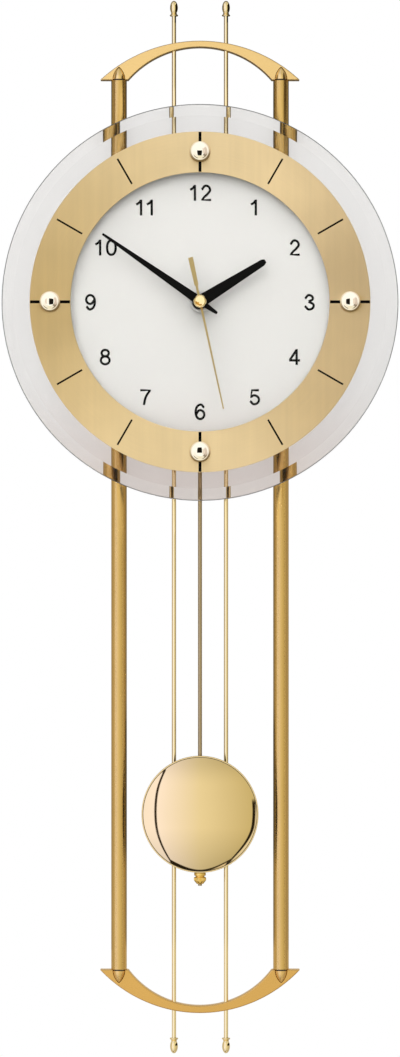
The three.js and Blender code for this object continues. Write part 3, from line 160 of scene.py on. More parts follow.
# Distance and direction from an axis that points at the viewer
def aroundAxis(tree, x, z):
    radius = sums(tree, "SQRT", sums(tree, "MULTIPLY_ADD", x, x, times(tree, z, z)))
    return radius, sums(tree, "ARCTAN2", x, z)


def mixShaders(tree, share, first, second):
    return put(tree, "ShaderNodeMixShader", {0: share, 1: first, 2: second}).outputs[0]


# A group with one output; its inputs are numbers, vectors of three or colours of four
def shaderGroup(name, output, outputKind, **inputs):
    tree = bpy.data.node_groups.new(name, "ShaderNodeTree")
    for label, value in inputs.items():
        kind = {3: "Vector", 4: "Color"}[len(value)] if isinstance(value, tuple) else "Float"
        socket = tree.interface.new_socket(label, in_out="INPUT", socket_type="NodeSocket" + kind)
        socket.default_value = value
    tree.interface.new_socket(output, in_out="OUTPUT", socket_type="NodeSocket" + outputKind)
    return tree, tree.nodes.new("NodeGroupInput").outputs, tree.nodes.new("NodeGroupOutput").inputs[output]


plainGrey = (0.8, 0.8, 0.8, 1)


# Fine parallel scratches: noise drawn out along one direction
def makeGrain():
    stretch = (1.0, 1.0, 0.03)
    tree, given, result = shaderGroup("brushed grain", "Streak", "Float", Scale=1000.0, Stretch=stretch)
    drawn = product(tree, objectPlace(tree), given["Stretch"])
    feed(tree, result, noiseOf(tree, drawn, given["Scale"], 3.0))
    return tree


# Slow change of colour over a surface
def makeDrift():
    tree, given, result = shaderGroup("tint drift", "Color", "Color", Color=plainGrey, Amount=0.03,
                                      Scale=20.0)
    noise = noiseOf(tree, objectPlace(tree), given["Scale"], 2.0)
    low = sums(tree, "SUBTRACT", 1.0, given["Amount"])
    high = sums(tree, "ADD", 1.0, given["Amount"])
    feed(tree, result, scaled(tree, given["Color"], evenRamp(tree, noise, 0.3, 0.7, low, high)))
    return tree


# Faint marks of handling that dull a gloss in patches
def makeSmudge():
    tree, given, result = shaderGroup("smudge", "Roughness", "Float", Roughness=0.2, Amount=0.05, Scale=60.0)
    noise = noiseOf(tree, objectPlace(tree), given["Scale"], 4.0)
    patch = ramp(tree, noise, 0.48, 0.72)
    feed(tree, result, sums(tree, "MULTIPLY_ADD", patch, given["Amount"], given["Roughness"]))
    return tree


# Thin dust that settles on what faces up
def makeDust():
    dust = {"colour": (0.55, 0.53, 0.5, 1), "specks": 900.0}
    tree, given, result = shaderGroup("settled dust", "Color", "Color", Color=plainGrey, Amount=0.1)
    facing = splitAxes(tree, put(tree, "ShaderNodeNewGeometry").outputs["Normal"])
    upward = ramp(tree, facing["Z"], 0.2, 0.95)
    speck = ramp(tree, noiseOf(tree, objectPlace(tree), dust["specks"], 3.0), 0.35, 0.7)
    share = times(tree, times(tree, upward, speck), given["Amount"])
    feed(tree, result, blendColour(tree, share, given["Color"], dust["colour"]))
    return tree


effects = {"grain": makeGrain(), "drift": makeDrift(), "smudge": makeSmudge(), "dust": makeDust()}


def effect(tree, name, **values):
    node = put(tree, "ShaderNodeGroup", node_tree=effects[name])
    for key, value in values.items():
        feed(tree, node.inputs[key.capitalize()], value)
    return node.outputs[0]


# Materials

# How far the grain is drawn out along x, y and z
upright = (1.0, 1.0, 0.02)
crosswise = (0.02, 1.0, 1.0)
evenly = (1.0, 1.0, 1.0)


def bareMaterial(name):
    material = bpy.data.materials.new(name)
    material.use_nodes = True
    material.node_tree.nodes.clear()
    return material, material.node_tree


def newMaterial(name, **constants):
    material, tree = bareMaterial(name)
    surface = put(tree, "ShaderNodeBsdfPrincipled", {k.replace("_", " "): v for k, v in constants.items()})
    put(tree, "ShaderNodeOutputMaterial", {"Surface": surface.outputs[0]})
    return material, tree, surface


def roughen(tree, surface, height, distance, strength=1.0):
    sockets = {"Height": height, "Distance": distance * mm, "Strength": strength}
    feed(tree, surface.inputs["Normal"], put(tree, "ShaderNodeBump", sockets).outputs[0])


def colourOf(tree, surface, colour, drift, scale, dust=0.0):
    tint = effect(tree, "drift", color=colour, amount=drift, scale=scale)
    if dust:
        tint = effect(tree, "dust", color=tint, amount=dust)
    feed(tree, surface.inputs["Base Color"], tint)


def glossOf(tree, surface, roughness, smudge, scale):
    gloss = effect(tree, "smudge", roughness=roughness, amount=smudge, scale=scale)
    feed(tree, surface.inputs["Roughness"], gloss)


def satinMetal(name, colour, roughness, stretch, grainScale=1500.0, spread=0.05, depth=0.004):
    material, tree, surface = newMaterial(name, Metallic=1.0)
    colourOf(tree, surface, colour, drift=0.03, scale=18.0)
    streak = effect(tree, "grain", scale=grainScale, stretch=stretch)
    drawn = evenRamp(tree, streak, 0.25, 0.75, roughness - spread, roughness + spread)
    glossOf(tree, surface, drawn, smudge=0.04, scale=70.0)
    roughen(tree, surface, streak, depth)
    return material


def mirrorMetal(name, colour, roughness, smudge=0.04):
    material, tree, surface = newMaterial(name, Metallic=1.0)
    colourOf(tree, surface, colour, drift=0.012, scale=30.0)
    glossOf(tree, surface, roughness, smudge, scale=90.0)
    wave = noiseOf(tree, objectPlace(tree), 45.0, 1.0)
    roughen(tree, surface, wave, distance=0.01, strength=0.4)
    return material


# Circles of fine scratches round the arbor, whose sheen comes from the anisotropic shader, with wide patches
# of painted sheen in the colour
def ringMetal():
    ring = {"colour": (0.88, 0.69, 0.4), "roughness": 0.4, "spread": 0.05, "pitch": 0.12, "depth": 0.003,
            "scratchTurn": 2.4, "sheenTurn": 2.6, "sheenReach": 25.0, "grain": 300.0}
    material, tree, surface = newMaterial("ring brushed brass", Metallic=1.0, Anisotropic=0.85,
                                          Anisotropic_Rotation=0.25)
    tangent = put(tree, "ShaderNodeTangent", direction_type="RADIAL", axis="Y")
    feed(tree, surface.inputs["Tangent"], tangent.outputs[0])
    sockets = {"Vector": objectPlace(tree), "Location": (0, 0, -arbor * mm)}
    place = splitAxes(tree, put(tree, "ShaderNodeMapping", sockets).outputs[0])
    radius, angle = aroundAxis(tree, place["X"], place["Z"])
    step = sums(tree, "DIVIDE", radius, ring["pitch"] * mm)
    track = joinAxes(tree, step, times(tree, angle, ring["scratchTurn"]))
    scratch = noiseOf(tree, track, 1.0, 3.0)
    # Wide patches lighter and darker in the colour: painted sheen
    sweep = joinAxes(tree, times(tree, radius, ring["sheenReach"]), times(tree, angle, ring["sheenTurn"]))
    patch = noiseOf(tree, sweep, 1.0, 2.0)
    drawn = effect(tree, "grain", scale=ring["grain"], stretch=upright)
    fine = evenRamp(tree, scratch, 0.2, 0.8, 0.95, 1.04)
    paintedSheen = evenRamp(tree, patch, 0.3, 0.7, 0.955, 1.045)
    straight = evenRamp(tree, drawn, 0.3, 0.7, 0.978, 1.022)
    level = times(tree, times(tree, fine, paintedSheen), straight)
    feed(tree, surface.inputs["Base Color"], scaled(tree, ring["colour"], level))
    low, high = ring["roughness"] - ring["spread"], ring["roughness"] + ring["spread"]
    feed(tree, surface.inputs["Roughness"], evenRamp(tree, scratch, 0.25, 0.75, low, high))
    roughen(tree, surface, scratch, ring["depth"])
    return material


# Paint, print and moulded plastic: a fine skin over a plain colour
def skin(name, colour, roughness, grainScale, depth, drift=0.02, dust=0.0, **constants):
    spread = 0.05
    material, tree, surface = newMaterial(name, **constants)
    colourOf(tree, surface, colour, drift, 25.0, dust)
    noise = noiseOf(tree, objectPlace(tree), grainScale, 4.0)
    gloss = evenRamp(tree, noise, 0.3, 0.7, roughness - spread, roughness + spread)
    glossOf(tree, surface, gloss, smudge=0.05, scale=50.0)
    roughen(tree, surface, noise, depth)
    return material


# Glass that lets the lamp's light through to the dial; low on the disc its colour goes over to the darker,
# warmer low colour, a painted shadow of the clock on the wall behind, and at less than half strength over the
# dial, painted shade on the dial's lower part
def glass(name, colour, roughness, low):
    paintedShadow = {"start": -40, "end": -118, "dial": 88, "clear": 100, "overDial": 0.45}
    material, tree, surface = newMaterial(name, Base_Color=colour, Roughness=roughness, IOR=1.5,
                                          Transmission_Weight=1.0, Specular_Tint=(0.15, 0.15, 0.15, 1))
    place = splitAxes(tree, objectPlace(tree))
    height = sums(tree, "SUBTRACT", place["Z"], arbor * mm)
    reach = aroundAxis(tree, place["X"], height)[0]
    # Painted shadow: full strength low on the disc, under half strength over the dial
    shadowBelow = ramp(tree, height, paintedShadow["start"] * mm, paintedShadow["end"] * mm)
    shadowOverDial = ramp(tree, reach, paintedShadow["dial"] * mm, paintedShadow["clear"] * mm, paintedShadow["overDial"], 1.0)
    feed(tree, surface.inputs["Base Color"], blendColour(tree, times(tree, shadowBelow, shadowOverDial), colour, low))
    clear = put(tree, "ShaderNodeBsdfTransparent", {"Color": (*[c ** 0.5 for c in colour[:3]], 1)}).outputs[0]
    lit = put(tree, "ShaderNodeLightPath").outputs["Is Shadow Ray"]
    both = mixShaders(tree, lit, surface.outputs[0], clear)
    feed(tree, tree.nodes["Material Output"].inputs["Surface"], both)
    return material


# Turns of enamelled wire, laid along one axis
def windings(name, axis):
    wire = {"colour": (0.5, 0.19, 0.07, 1), "radian": 0.12, "depth": 0.05}
    radiansInUnit = 20              # a wave texture of scale 1 turns this far in a metre
    material, tree, surface = newMaterial(name, Metallic=0.75, Coat_Weight=0.6, Coat_Roughness=0.2)
    colourOf(tree, surface, wire["colour"], drift=0.08, scale=400.0)
    scale = 1 / (radiansInUnit * wire["radian"] * mm)
    sockets = {"Vector": objectPlace(tree), "Scale": scale, "Distortion": 0.3}
    wave = put(tree, "ShaderNodeTexWave", sockets, bands_direction=axis, wave_profile="SIN").outputs[1]
    feed(tree, surface.inputs["Roughness"], evenRamp(tree, wave, 0.0, 1.0, 0.5, 0.28))
    roughen(tree, surface, wave, wire["depth"], strength=0.8)
    return material


# Solder mask over copper tracks
def boardMask():
    mask = {"bare": (0.016, 0.09, 0.035, 1), "track": (0.03, 0.16, 0.06, 1), "tracks": 420.0, "depth": 0.03}
    material, tree, surface = newMaterial("board solder mask", Coat_Weight=0.3, Coat_Roughness=0.25)
    sockets = {"Vector": objectPlace(tree), "Scale": mask["tracks"]}
    cells = put(tree, "ShaderNodeTexVoronoi", sockets, distance="CHEBYCHEV")
    track = ramp(tree, cells.outputs["Distance"], 0.32, 0.36)
    colourOf(tree, surface, blendColour(tree, track, mask["bare"], mask["track"]), drift=0.05, scale=60.0)
    feed(tree, surface.inputs["Roughness"], ramp(tree, track, 0.0, 1.0, 0.42, 0.34))
    roughen(tree, surface, track, mask["depth"])
    return material


finishes = {
    # The last colour of each glass is its painted shadow colour, low on the disc
    "glass": glass("clear glass", (0.87, 0.858, 0.848, 1), 0.0, (0.775, 0.705, 0.675, 1)),
    # A lighter copy of the glass for the bevel: painted highlight where the bevel catches light
    "litBevelGlass": glass("bevel glass painted lighter", (0.95, 0.94, 0.93, 1), 0.0, (0.94, 0.89, 0.86, 1)),
    # The ground edge is frosted; its dark grey is painted shade for the dark line round the rim
    "frostedShadedEdge": glass("frosted glass rim with painted shade", (0.26, 0.27, 0.27, 1), 0.4, (0.27, 0.26, 0.26, 1)),
    "dialPaint": skin("dial matt white", (0.85, 0.865, 0.854, 1), 0.7, 2500.0, 0.004, 0.006,
                      Specular_IOR_Level=0.1),
    "ring": ringMetal(),
    "satinGold": satinMetal("frame satin brass", (0.74, 0.49, 0.165, 1), 0.24, upright, spread=0.03,
                            depth=0.001),
    # The crescents' brass in two copies, painted light and shade: the top one lighter, the bottom one darker
    # and more orange
    "litTopCrescentGold": satinMetal("top crescent brass painted lighter", (0.97, 0.68, 0.29, 1), 0.3, crosswise),
    "shadedLowCrescentGold": satinMetal("bottom crescent brass painted darker", (0.76, 0.45, 0.125, 1), 0.3, crosswise),
    "mirrorGold": mirrorMetal("polished brass", (0.9, 0.69, 0.36, 1), 0.03, 0.02),
    "brightGilt": mirrorMetal("bright gilt", (0.98, 0.82, 0.48, 1), 0.04),
    "yellowGilt": mirrorMetal("yellow gilt", (0.98, 0.8, 0.43, 1), 0.04),
    "bossGold": mirrorMetal("polished boss brass", (0.92, 0.66, 0.28, 1), 0.14),
    # Brass of the lower bosses, also a painted highlight on the bottom crescent's upward faces
    "lowBossAndLedgeHighlightGold": mirrorMetal("low boss brass with painted highlight", (0.9, 0.6, 0.22, 1), 0.32),
    "nutGold": mirrorMetal("rating nut brass", (0.9, 0.62, 0.17, 1), 0.1),
    "paleGilt": mirrorMetal("stud gilt", (0.99, 0.95, 0.83, 1), 0.04),
    "handGold": satinMetal("second hand matt brass", (0.54, 0.42, 0.19, 1), 0.42, evenly),
    "bronze": satinMetal("rod bronze", (0.46, 0.36, 0.2, 1), 0.42, upright),
    "handPaint": skin("hand satin black", (0.003, 0.003, 0.003, 1), 0.5, 4000.0, 0.003,
                      Specular_IOR_Level=0.06),
    "ink": skin("dial print", (0.003, 0.003, 0.003, 1), 0.7, 5000.0, 0.002, Specular_IOR_Level=0.0),
    "zinc": satinMetal("zinc plated steel", (0.62, 0.63, 0.65, 1), 0.34, crosswise, 900.0, 0.08, 0.006),
    # Dark lacquer of the bob's back, also painted shade in the bosses' seams and the bob's groove
    "backLacquerAndShade": skin("dark lacquer with painted shade", (0.035, 0.028, 0.02, 1), 0.4, 1800.0, 0.006),
    "moulding": skin("black moulding", (0.018, 0.018, 0.019, 1), 0.48, 2200.0, 0.012, 0.05, 0.12),
    "acetal": skin("white acetal", (0.8, 0.785, 0.74, 1), 0.42, 1500.0, 0.006),
    "coilAcross": windings("coil wire across", "X"),
    "coilDeep": windings("coil wire deep", "Y"),
    "board": boardMask(),
    "ferrite": skin("ferrite", (0.05, 0.047, 0.045, 1), 0.62, 1800.0, 0.02),
    "sleeve": skin("battery sleeve", (0.04, 0.045, 0.055, 1), 0.3, 1200.0, 0.003),
}
print("materials made:", len(finishes))


# Mesh tools

cutLap = 1.0                        # how far a cutting tool reaches past the piece


# Rounds each corner of a path that carries a third number, the radius of its arc
def eased(points, steps=4):
    most = 0.49                     # share of an edge that a corner may take
    path = []
    for k, point in enumerate(points):
        here = Vector(point[:2])
        if len(point) < 3:
            path.append(tuple(here))
            continue
        before = Vector(points[k - 1][:2]) - here
        after = Vector(points[(k + 1) % len(points)][:2]) - here
        half = before.angle(after) / 2
        reach = min(point[2] / math.tan(half), most * before.length, most * after.length)
        middle = (before.normalized() + after.normalized()).normalized() * reach / math.cos(half)
        arm = before.normalized() * reach - middle
        last = after.normalized() * reach - middle
        start = math.atan2(arm.y, arm.x)
        sweep = (math.atan2(last.y, last.x) - start + math.pi) % math.tau - math.pi
        for step in range(steps + 1):
            turn = start + sweep * step / steps
            path.append(tuple(here + middle + arm.length * Vector((math.cos(turn), math.sin(turn)))))
    return path


def arc(centre, radius, fromDeg, toDeg, steps):
    angles = [math.radians(fromDeg + (toDeg - fromDeg) * k / steps) for k in range(steps + 1)]
    return [(centre[0] + radius * math.cos(a), centre[1] + radius * math.sin(a)) for a in angles]


# Turns a profile of (radius, distance along the axis); it closes on itself unless it meets the axis
def turned(profile, axis, at=(0, 0, 0), steps=96, phase=0.0):
    place = {
        "depth": lambda r, along, c, s: (r * c, -along, r * s),
        "height": lambda r, along, c, s: (r * c, r * s, along),
        "width": lambda r, along, c, s: (along, r * c, r * s),
    }[axis]
    onAxis = 1e-6
    bm = bmesh.new()
    rings = []
    for radius, along in profile:
        count = steps if radius > onAxis else 1
        angles = [math.tau * (k + phase) / steps for k in range(count)]
        rings.append([bm.verts.new(place(radius, along, math.cos(a), math.sin(a))) for a in angles])
    hollow = all(len(ring) > 1 for ring in rings)
    for near, far in zip(rings, rings[1:] + (rings[:1] if hollow else [])):
        for k in range(steps):
            m = (k + 1) % steps
            corners = [near[k % len(near)], near[m % len(near)], far[m % len(far)], far[k % len(far)]]
            corners = list(dict.fromkeys(corners))
            if len(corners) > 2:
                bm.faces.new(corners)
    bmesh.ops.recalc_face_normals(bm, faces=bm.faces)
    x, depth, z = at
    bmesh.ops.translate(bm, verts=bm.verts, vec=(x, -depth, z))
    return bm


def cylinder(radius, start, end, axis, at=(0, 0, 0), steps=96):
    return turned([(0, start), (radius, start), (radius, end), (0, end)], axis, at, steps)


# A turned solid from corners of (radius, along, ease), closed to the axis at both ends
def spindle(corners, axis, at, steps, easeSteps=3):
    path = [(0, corners[0][1]), *corners, (0, corners[-1][1])]
    return turned(eased(path, easeSteps), axis, at, steps)


# A flat piece: an outline in x and z between two depths
def slab(outline, back, front):
    bm = bmesh.new()
    face = bm.faces.new([bm.verts.new((x, -back, z)) for x, z in outline])
    grown = bmesh.ops.extrude_face_region(bm, geom=[face])["geom"]
    moved = [item for item in grown if isinstance(item, bmesh.types.BMVert)]
    bmesh.ops.translate(bm, verts=moved, vec=(0, back - front, 0))
    bmesh.ops.recalc_face_normals(bm, faces=bm.faces)
    return bm


def block(left, right, back, front, low, high):
    return slab([(left, low), (right, low), (right, high), (left, high)], back, front)


def roundedBox(left, right, low, high, corner, steps=8):
    corners = ((left, low), (right, low), (right, high), (left, high))
    return eased([(x, z, corner) for x, z in corners], steps)


def spun(bm, degrees, height):
    turn = Matrix.Translation((0, 0, height)) @ Matrix.Rotation(math.radians(degrees), 4, "Y")
    bm.transform(turn)
    return bm


def joined(*meshes):
    whole = meshes[0]
    for other in meshes[1:]:
        mesh = bpy.data.meshes.new("part")
        other.to_mesh(mesh)
        other.free()
        whole.from_mesh(mesh)
        bpy.data.meshes.remove(mesh)
    return whole


def holder(name, bm):
    mesh = bpy.data.meshes.new(name)
    bm.to_mesh(mesh)
    bm.free()
    obj = bpy.data.objects.new(name, mesh)
    scene.collection.objects.link(obj)
    return obj


# Turns an object with modifiers into a plain mesh
def settle(obj):
    graph = bpy.context.evaluated_depsgraph_get()
    mesh = bpy.data.meshes.new_from_object(obj.evaluated_get(graph), depsgraph=graph)
    old = obj.data
    obj.modifiers.clear()
    if obj.type == "MESH":
        obj.data = mesh
    else:
        plain = bpy.data.objects.new(obj.name + "_mesh", mesh)
        scene.collection.objects.link(plain)
        bpy.data.objects.remove(obj)
        obj = plain
    if old.users == 0 and isinstance(old, bpy.types.Mesh):
        bpy.data.meshes.remove(old)
    return obj


# Cuts tools out of a mesh, or joins them to it
def carved(bm, tools, operation="DIFFERENCE"):
    body = holder("body", bm)
    helpers = [holder("tool", tool) for tool in tools]
    for helper in helpers:
        cut = body.modifiers.new("cut", "BOOLEAN")
        cut.object = helper
        cut.operation = operation
        cut.solver = "EXACT"
    settle(body)
    result = bmesh.new()
    result.from_mesh(body.data)
    for obj in [body] + helpers:
        mesh = obj.data
        bpy.data.objects.remove(obj)
        bpy.data.meshes.remove(mesh)
    return result


def joinedOn(bm, *others):
    for other in others:
        bm = carved(bm, [other], "UNION")
    return bm


def easeEdges(obj, width, segments, sharpDegrees):
    edge = obj.modifiers.new("edge", "BEVEL")
    edge.width = width
    edge.segments = segments
    edge.limit_method = "ANGLE"
    edge.angle_limit = math.radians(sharpDegrees)


def smoothShade(obj, sharpDegrees):
    obj.data.shade_smooth()
    obj.data.set_sharp_from_angle(angle=math.radians(sharpDegrees))


def addFinishes(obj, *names):
    for name in names:
        obj.data.materials.append(finishes[name])


# Makes a piece from a mesh in millimetres: eased edges, smooth faces, one finish
def piece(name, bm, finish, bevel=0.0, segments=3, sharpDegrees=38, level=True):
    bm.transform(Matrix.Scale(mm, 4))
    obj = holder(name, bm)
    if bevel:
        obj.data.shade_smooth()
        easeEdges(obj, bevel * mm, segments, sharpDegrees)
    else:
        smoothShade(obj, sharpDegrees)
    if level:
        obj.modifiers.new("level", "WEIGHTED_NORMAL").keep_sharp = True
    settle(obj)
    addFinishes(obj, finish)
    return obj


# The piece takes the place and the body of CAD nodes, which it hides
def standFor(obj, *nodes):
    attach(obj, bodyOf[nodes[0]])
    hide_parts(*nodes)
    return obj


def addOn(obj, body):
    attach(obj, body)
    return obj


# Geometry Nodes

def geometryTree(name, counts, lengths):
    tree = bpy.data.node_groups.new(name, "GeometryNodeTree")
    tree.interface.new_socket("Geometry", in_out="INPUT", socket_type="NodeSocketGeometry")
    kinds = {**dict.fromkeys(counts, "Int"), **dict.fromkeys(lengths, "Float"), "Material": "Material"}
    for label, kind in kinds.items():
        tree.interface.new_socket(label, in_out="INPUT", socket_type="NodeSocket" + kind)
    tree.interface.new_socket("Geometry", in_out="OUTPUT", socket_type="NodeSocketGeometry")
    return tree, tree.nodes.new("NodeGroupInput").outputs


def closeTree(tree, shape, material):
    real = put(tree, "GeometryNodeRealizeInstances", {"Geometry": shape})
    done = put(tree, "GeometryNodeSetMaterial", {"Geometry": real.outputs[0], "Material": material})
    put(tree, "NodeGroupOutput", {"Geometry": done.outputs[0]})


def grow(obj, tree, finish, values):
    modifier = obj.modifiers.new("grow", "NODES")
    modifier.node_group = tree
    given = {**values, "Material": finishes[finish]}
    for item in tree.interface.items_tree:
        if item.in_out == "INPUT" and item.name in given:
            modifier[item.identifier] = given[item.name]
    return settle(obj)


# Points to stand copies on, their numbers, and the turn of each round the axis
def pointsRound(tree, count):
    points = put(tree, "GeometryNodePoints", {"Count": count}).outputs[0]
    index = put(tree, "GeometryNodeInputIndex").outputs[0]
    angle = sums(tree, "DIVIDE", times(tree, index, math.tau), count)
    return points, index, joinAxes(tree, z=angle)


def middleOf(tree, first, second):
    return sums(tree, "DIVIDE", sums(tree, "ADD", first, second), 2.0)


def barAt(tree, size, place, turn=(0, 0, 0)):
    bar = put(tree, "GeometryNodeMeshCube", {"Size": size}).outputs[0]
    sockets = {"Geometry": bar, "Translation": place, "Rotation": turn}
    return put(tree, "GeometryNodeTransform", sockets).outputs[0]


# Bars set out round an axis, one in every few of them wider
def marksTree():
    lengths = [f"{kind} {part}" for kind in ("Thin", "Wide") for part in ("Inner", "Outer", "Width")]
    tree, given = geometryTree("dial marks", ["Count", "Every"], [*lengths, "Thickness"])
    points, index, turn = pointsRound(tree, given["Count"])
    place = sums(tree, "MODULO", index, given["Every"])
    chosen = {"Wide": sums(tree, "LESS_THAN", place, 0.5), "Thin": sums(tree, "GREATER_THAN", place, 0.5)}
    both = put(tree, "GeometryNodeJoinGeometry")
    for kind, selection in chosen.items():
        inner, outer = given[kind + " Inner"], given[kind + " Outer"]
        length = sums(tree, "SUBTRACT", outer, inner)
        size = joinAxes(tree, given[kind + " Width"], length, given["Thickness"])
        raised = sums(tree, "DIVIDE", given["Thickness"], 2.0)
        bar = barAt(tree, size, joinAxes(tree, 0.0, middleOf(tree, outer, inner), raised))
        sockets = {"Points": points, "Selection": selection, "Instance": bar, "Rotation": turn}
        feed(tree, both.inputs[0], put(tree, "GeometryNodeInstanceOnPoints", sockets).outputs[0])
    closeTree(tree, both.outputs[0], given["Material"])
    return tree


# Ridges round a turned piece
def knurlTree():
    tree, given = geometryTree("knurled ridges", ["Count"], ["Radius", "Ridge", "Low", "High"])
    points, _, turn = pointsRound(tree, given["Count"])
    size = joinAxes(tree, given["Ridge"], given["Ridge"], sums(tree, "SUBTRACT", given["High"], given["Low"]))
    place = joinAxes(tree, given["Radius"], 0.0, middleOf(tree, given["High"], given["Low"]))
    bar = barAt(tree, size, place, (0, 0, math.radians(45)))
    spread = put(tree, "GeometryNodeInstanceOnPoints", {"Points": points, "Instance": bar, "Rotation": turn})
    both = put(tree, "GeometryNodeJoinGeometry", {0: spread.outputs[0]})
    feed(tree, both.inputs[0], given["Geometry"])
    closeTree(tree, both.outputs[0], given["Material"])
    return tree


# A row of round-ended ribs
def ribsTree():
    roundShare = 0.49               # of the rib's width, for the radius of its ends
    tree, given = geometryTree("moulded ribs", ["Count"], ["Pitch", "Length", "Width", "Height"])
    sockets = {"Count": given["Count"], "Offset": joinAxes(tree, 0.0, given["Pitch"])}
    line = put(tree, "GeometryNodeMeshLine", sockets, mode="OFFSET").outputs[0]
    sockets = {"Width": given["Length"], "Height": given["Width"]}
    stadium = put(tree, "GeometryNodeCurvePrimitiveQuadrilateral", sockets).outputs[0]
    sockets = {"Curve": stadium, "Radius": times(tree, given["Width"], roundShare), "Count": 6}
    soft = put(tree, "GeometryNodeFilletCurve", sockets, mode="POLY").outputs[0]
    face = put(tree, "GeometryNodeFillCurve", {"Curve": soft}, mode="NGONS").outputs[0]
    sockets = {"Mesh": face, "Offset Scale": given["Height"]}
    raised = put(tree, "GeometryNodeExtrudeMesh", sockets, mode="FACES").outputs[0]
    shell = put(tree, "GeometryNodeJoinGeometry", {0: raised})
    feed(tree, shell.inputs[0], put(tree, "GeometryNodeFlipFaces", {"Mesh": face}).outputs[0])
    sewn = put(tree, "GeometryNodeMergeByDistance", {"Geometry": shell.outputs[0], "Distance": 0.001})
    spread = put(tree, "GeometryNodeInstanceOnPoints", {"Points": line, "Instance": sewn.outputs[0]})
    closeTree(tree, spread.outputs[0], given["Material"])
    return tree


# A pen stroke of constant width along every curve
def strokeTree():
    tree, given = geometryTree("pen strokes", [], ["Width", "Thickness"])
    sockets = {"Width": given["Width"], "Height": given["Thickness"]}
    nib = put(tree, "GeometryNodeCurvePrimitiveQuadrilateral", sockets).outputs[0]
    sockets = {"Curve": given["Geometry"], "Profile Curve": nib, "Fill Caps": True}
    closeTree(tree, put(tree, "GeometryNodeCurveToMesh", sockets).outputs[0], given["Material"])
    return tree


print("tools ready")


# Dial: glass, white disc, brass ring, marks, numerals, studs and nut

arborHole = 4.95                    # radius of the hole for the movement's bush


def makeGlass():
    size = {"edge": 1.5, "bevel": 7.8, "chamfer": 0.62, "studHole": 1.7, "innerLoop": 91.0,
            "outerLoop": 102.0, "groundShare": 1.02}
    disc = boxOf("glass_disc")
    radius = disc.right
    rim = radius - size["chamfer"]
    bevelBack = disc.back + size["edge"]
    # The two loops, behind the ring, part the flat faces of the dial from those of the clear border
    profile = [
        (arborHole, disc.back),
        (size["innerLoop"], disc.back),
        (size["outerLoop"], disc.back),
        (rim, disc.back),
        (radius, disc.back + size["chamfer"]),
        (radius, bevelBack - size["chamfer"] / 2),
        (rim, bevelBack + size["chamfer"] / 3),
        (radius - size["bevel"], disc.front),
        (size["outerLoop"], disc.front),
        (size["innerLoop"], disc.front),
        (arborHole, disc.front),
    ]
    body = turned(profile, "depth", (0, 0, arbor), 256, 0.5)
    holes = []
    for hour in studHours:
        stud = boxOf(f"ball_stud_{hour}")
        holes.append(cylinder(size["studHole"], disc.back - cutLap, disc.front + cutLap, "depth",
                              (stud.x, 0, stud.z), 32))
    obj = piece("glass_bevelled_disc", carved(body, holes), "glass", sharpDegrees=12, level=False)
    addFinishes(obj, "litBevelGlass", "frostedShadedEdge")
    for face in obj.data.polygons:
        x, y, z = face.center / mm
        outward = math.hypot(x, z - arbor)
        # Faces of the rim take the ground edge glass, whose dark grey is painted shade
        if outward > radius - size["groundShare"] * size["chamfer"]:
            face.material_index = 2
        # The bevel's front faces take the lighter glass: painted highlight
        elif outward > radius - size["bevel"] and -y > bevelBack:
            face.material_index = 1
    return standFor(obj, "glass_disc")


def makeFlatRing(name, node, finish, inner, edge):
    disc = boxOf(node)
    profile = eased([(inner, disc.back, edge), (disc.right, disc.back, edge), (disc.right, disc.front, edge),
                     (inner, disc.front, edge)], 3)
    return standFor(piece(name, turned(profile, "depth", (0, 0, arbor), 256), finish), node)


def makeStuds():
    size = {"ball": 6.5, "shank": 1.5, "seat": 0.1, "steps": 28}
    seat = boxOf("dial_ring").front + size["seat"]
    for hour in studHours:
        stud = boxOf(f"ball_stud_{hour}")
        middle = stud.front - size["ball"]
        low = math.degrees(math.asin((seat - middle) / size["ball"]))
        ball = arc((0, middle), size["ball"], low, 90, size["steps"])
        shank = size["shank"]
        profile = [(0, stud.back), (shank, stud.back), (shank, seat), *ball[:-1], (0, stud.front)]
        obj = piece(f"stud_ball_{hour}", turned(profile, "depth", (stud.x, 0, stud.z), 64), "paleGilt")
        standFor(obj, f"ball_stud_{hour}")


# Stands a flat drawing of x and y up on the dial, at a depth
def standUp(obj, depth):
    place = Matrix.Translation((0, -depth, arbor)) @ Matrix.Rotation(math.radians(90), 4, "X")
    obj.data.transform(Matrix.Scale(mm, 4) @ place)


def makeMarks():
    size = {"Count": 12, "Every": 3, "Thin Inner": 87.6, "Thin Outer": 106.3, "Thin Width": 1.15,
            "Wide Inner": 83.7, "Wide Outer": 109.4, "Wide Width": 1.9, "Thickness": 0.04}
    obj = holder("hour_marks", bmesh.new())
    grow(obj, marksTree(), "ink", size)
    standUp(obj, boxOf("dial_ring").front)
    addOn(obj, "clock_body")


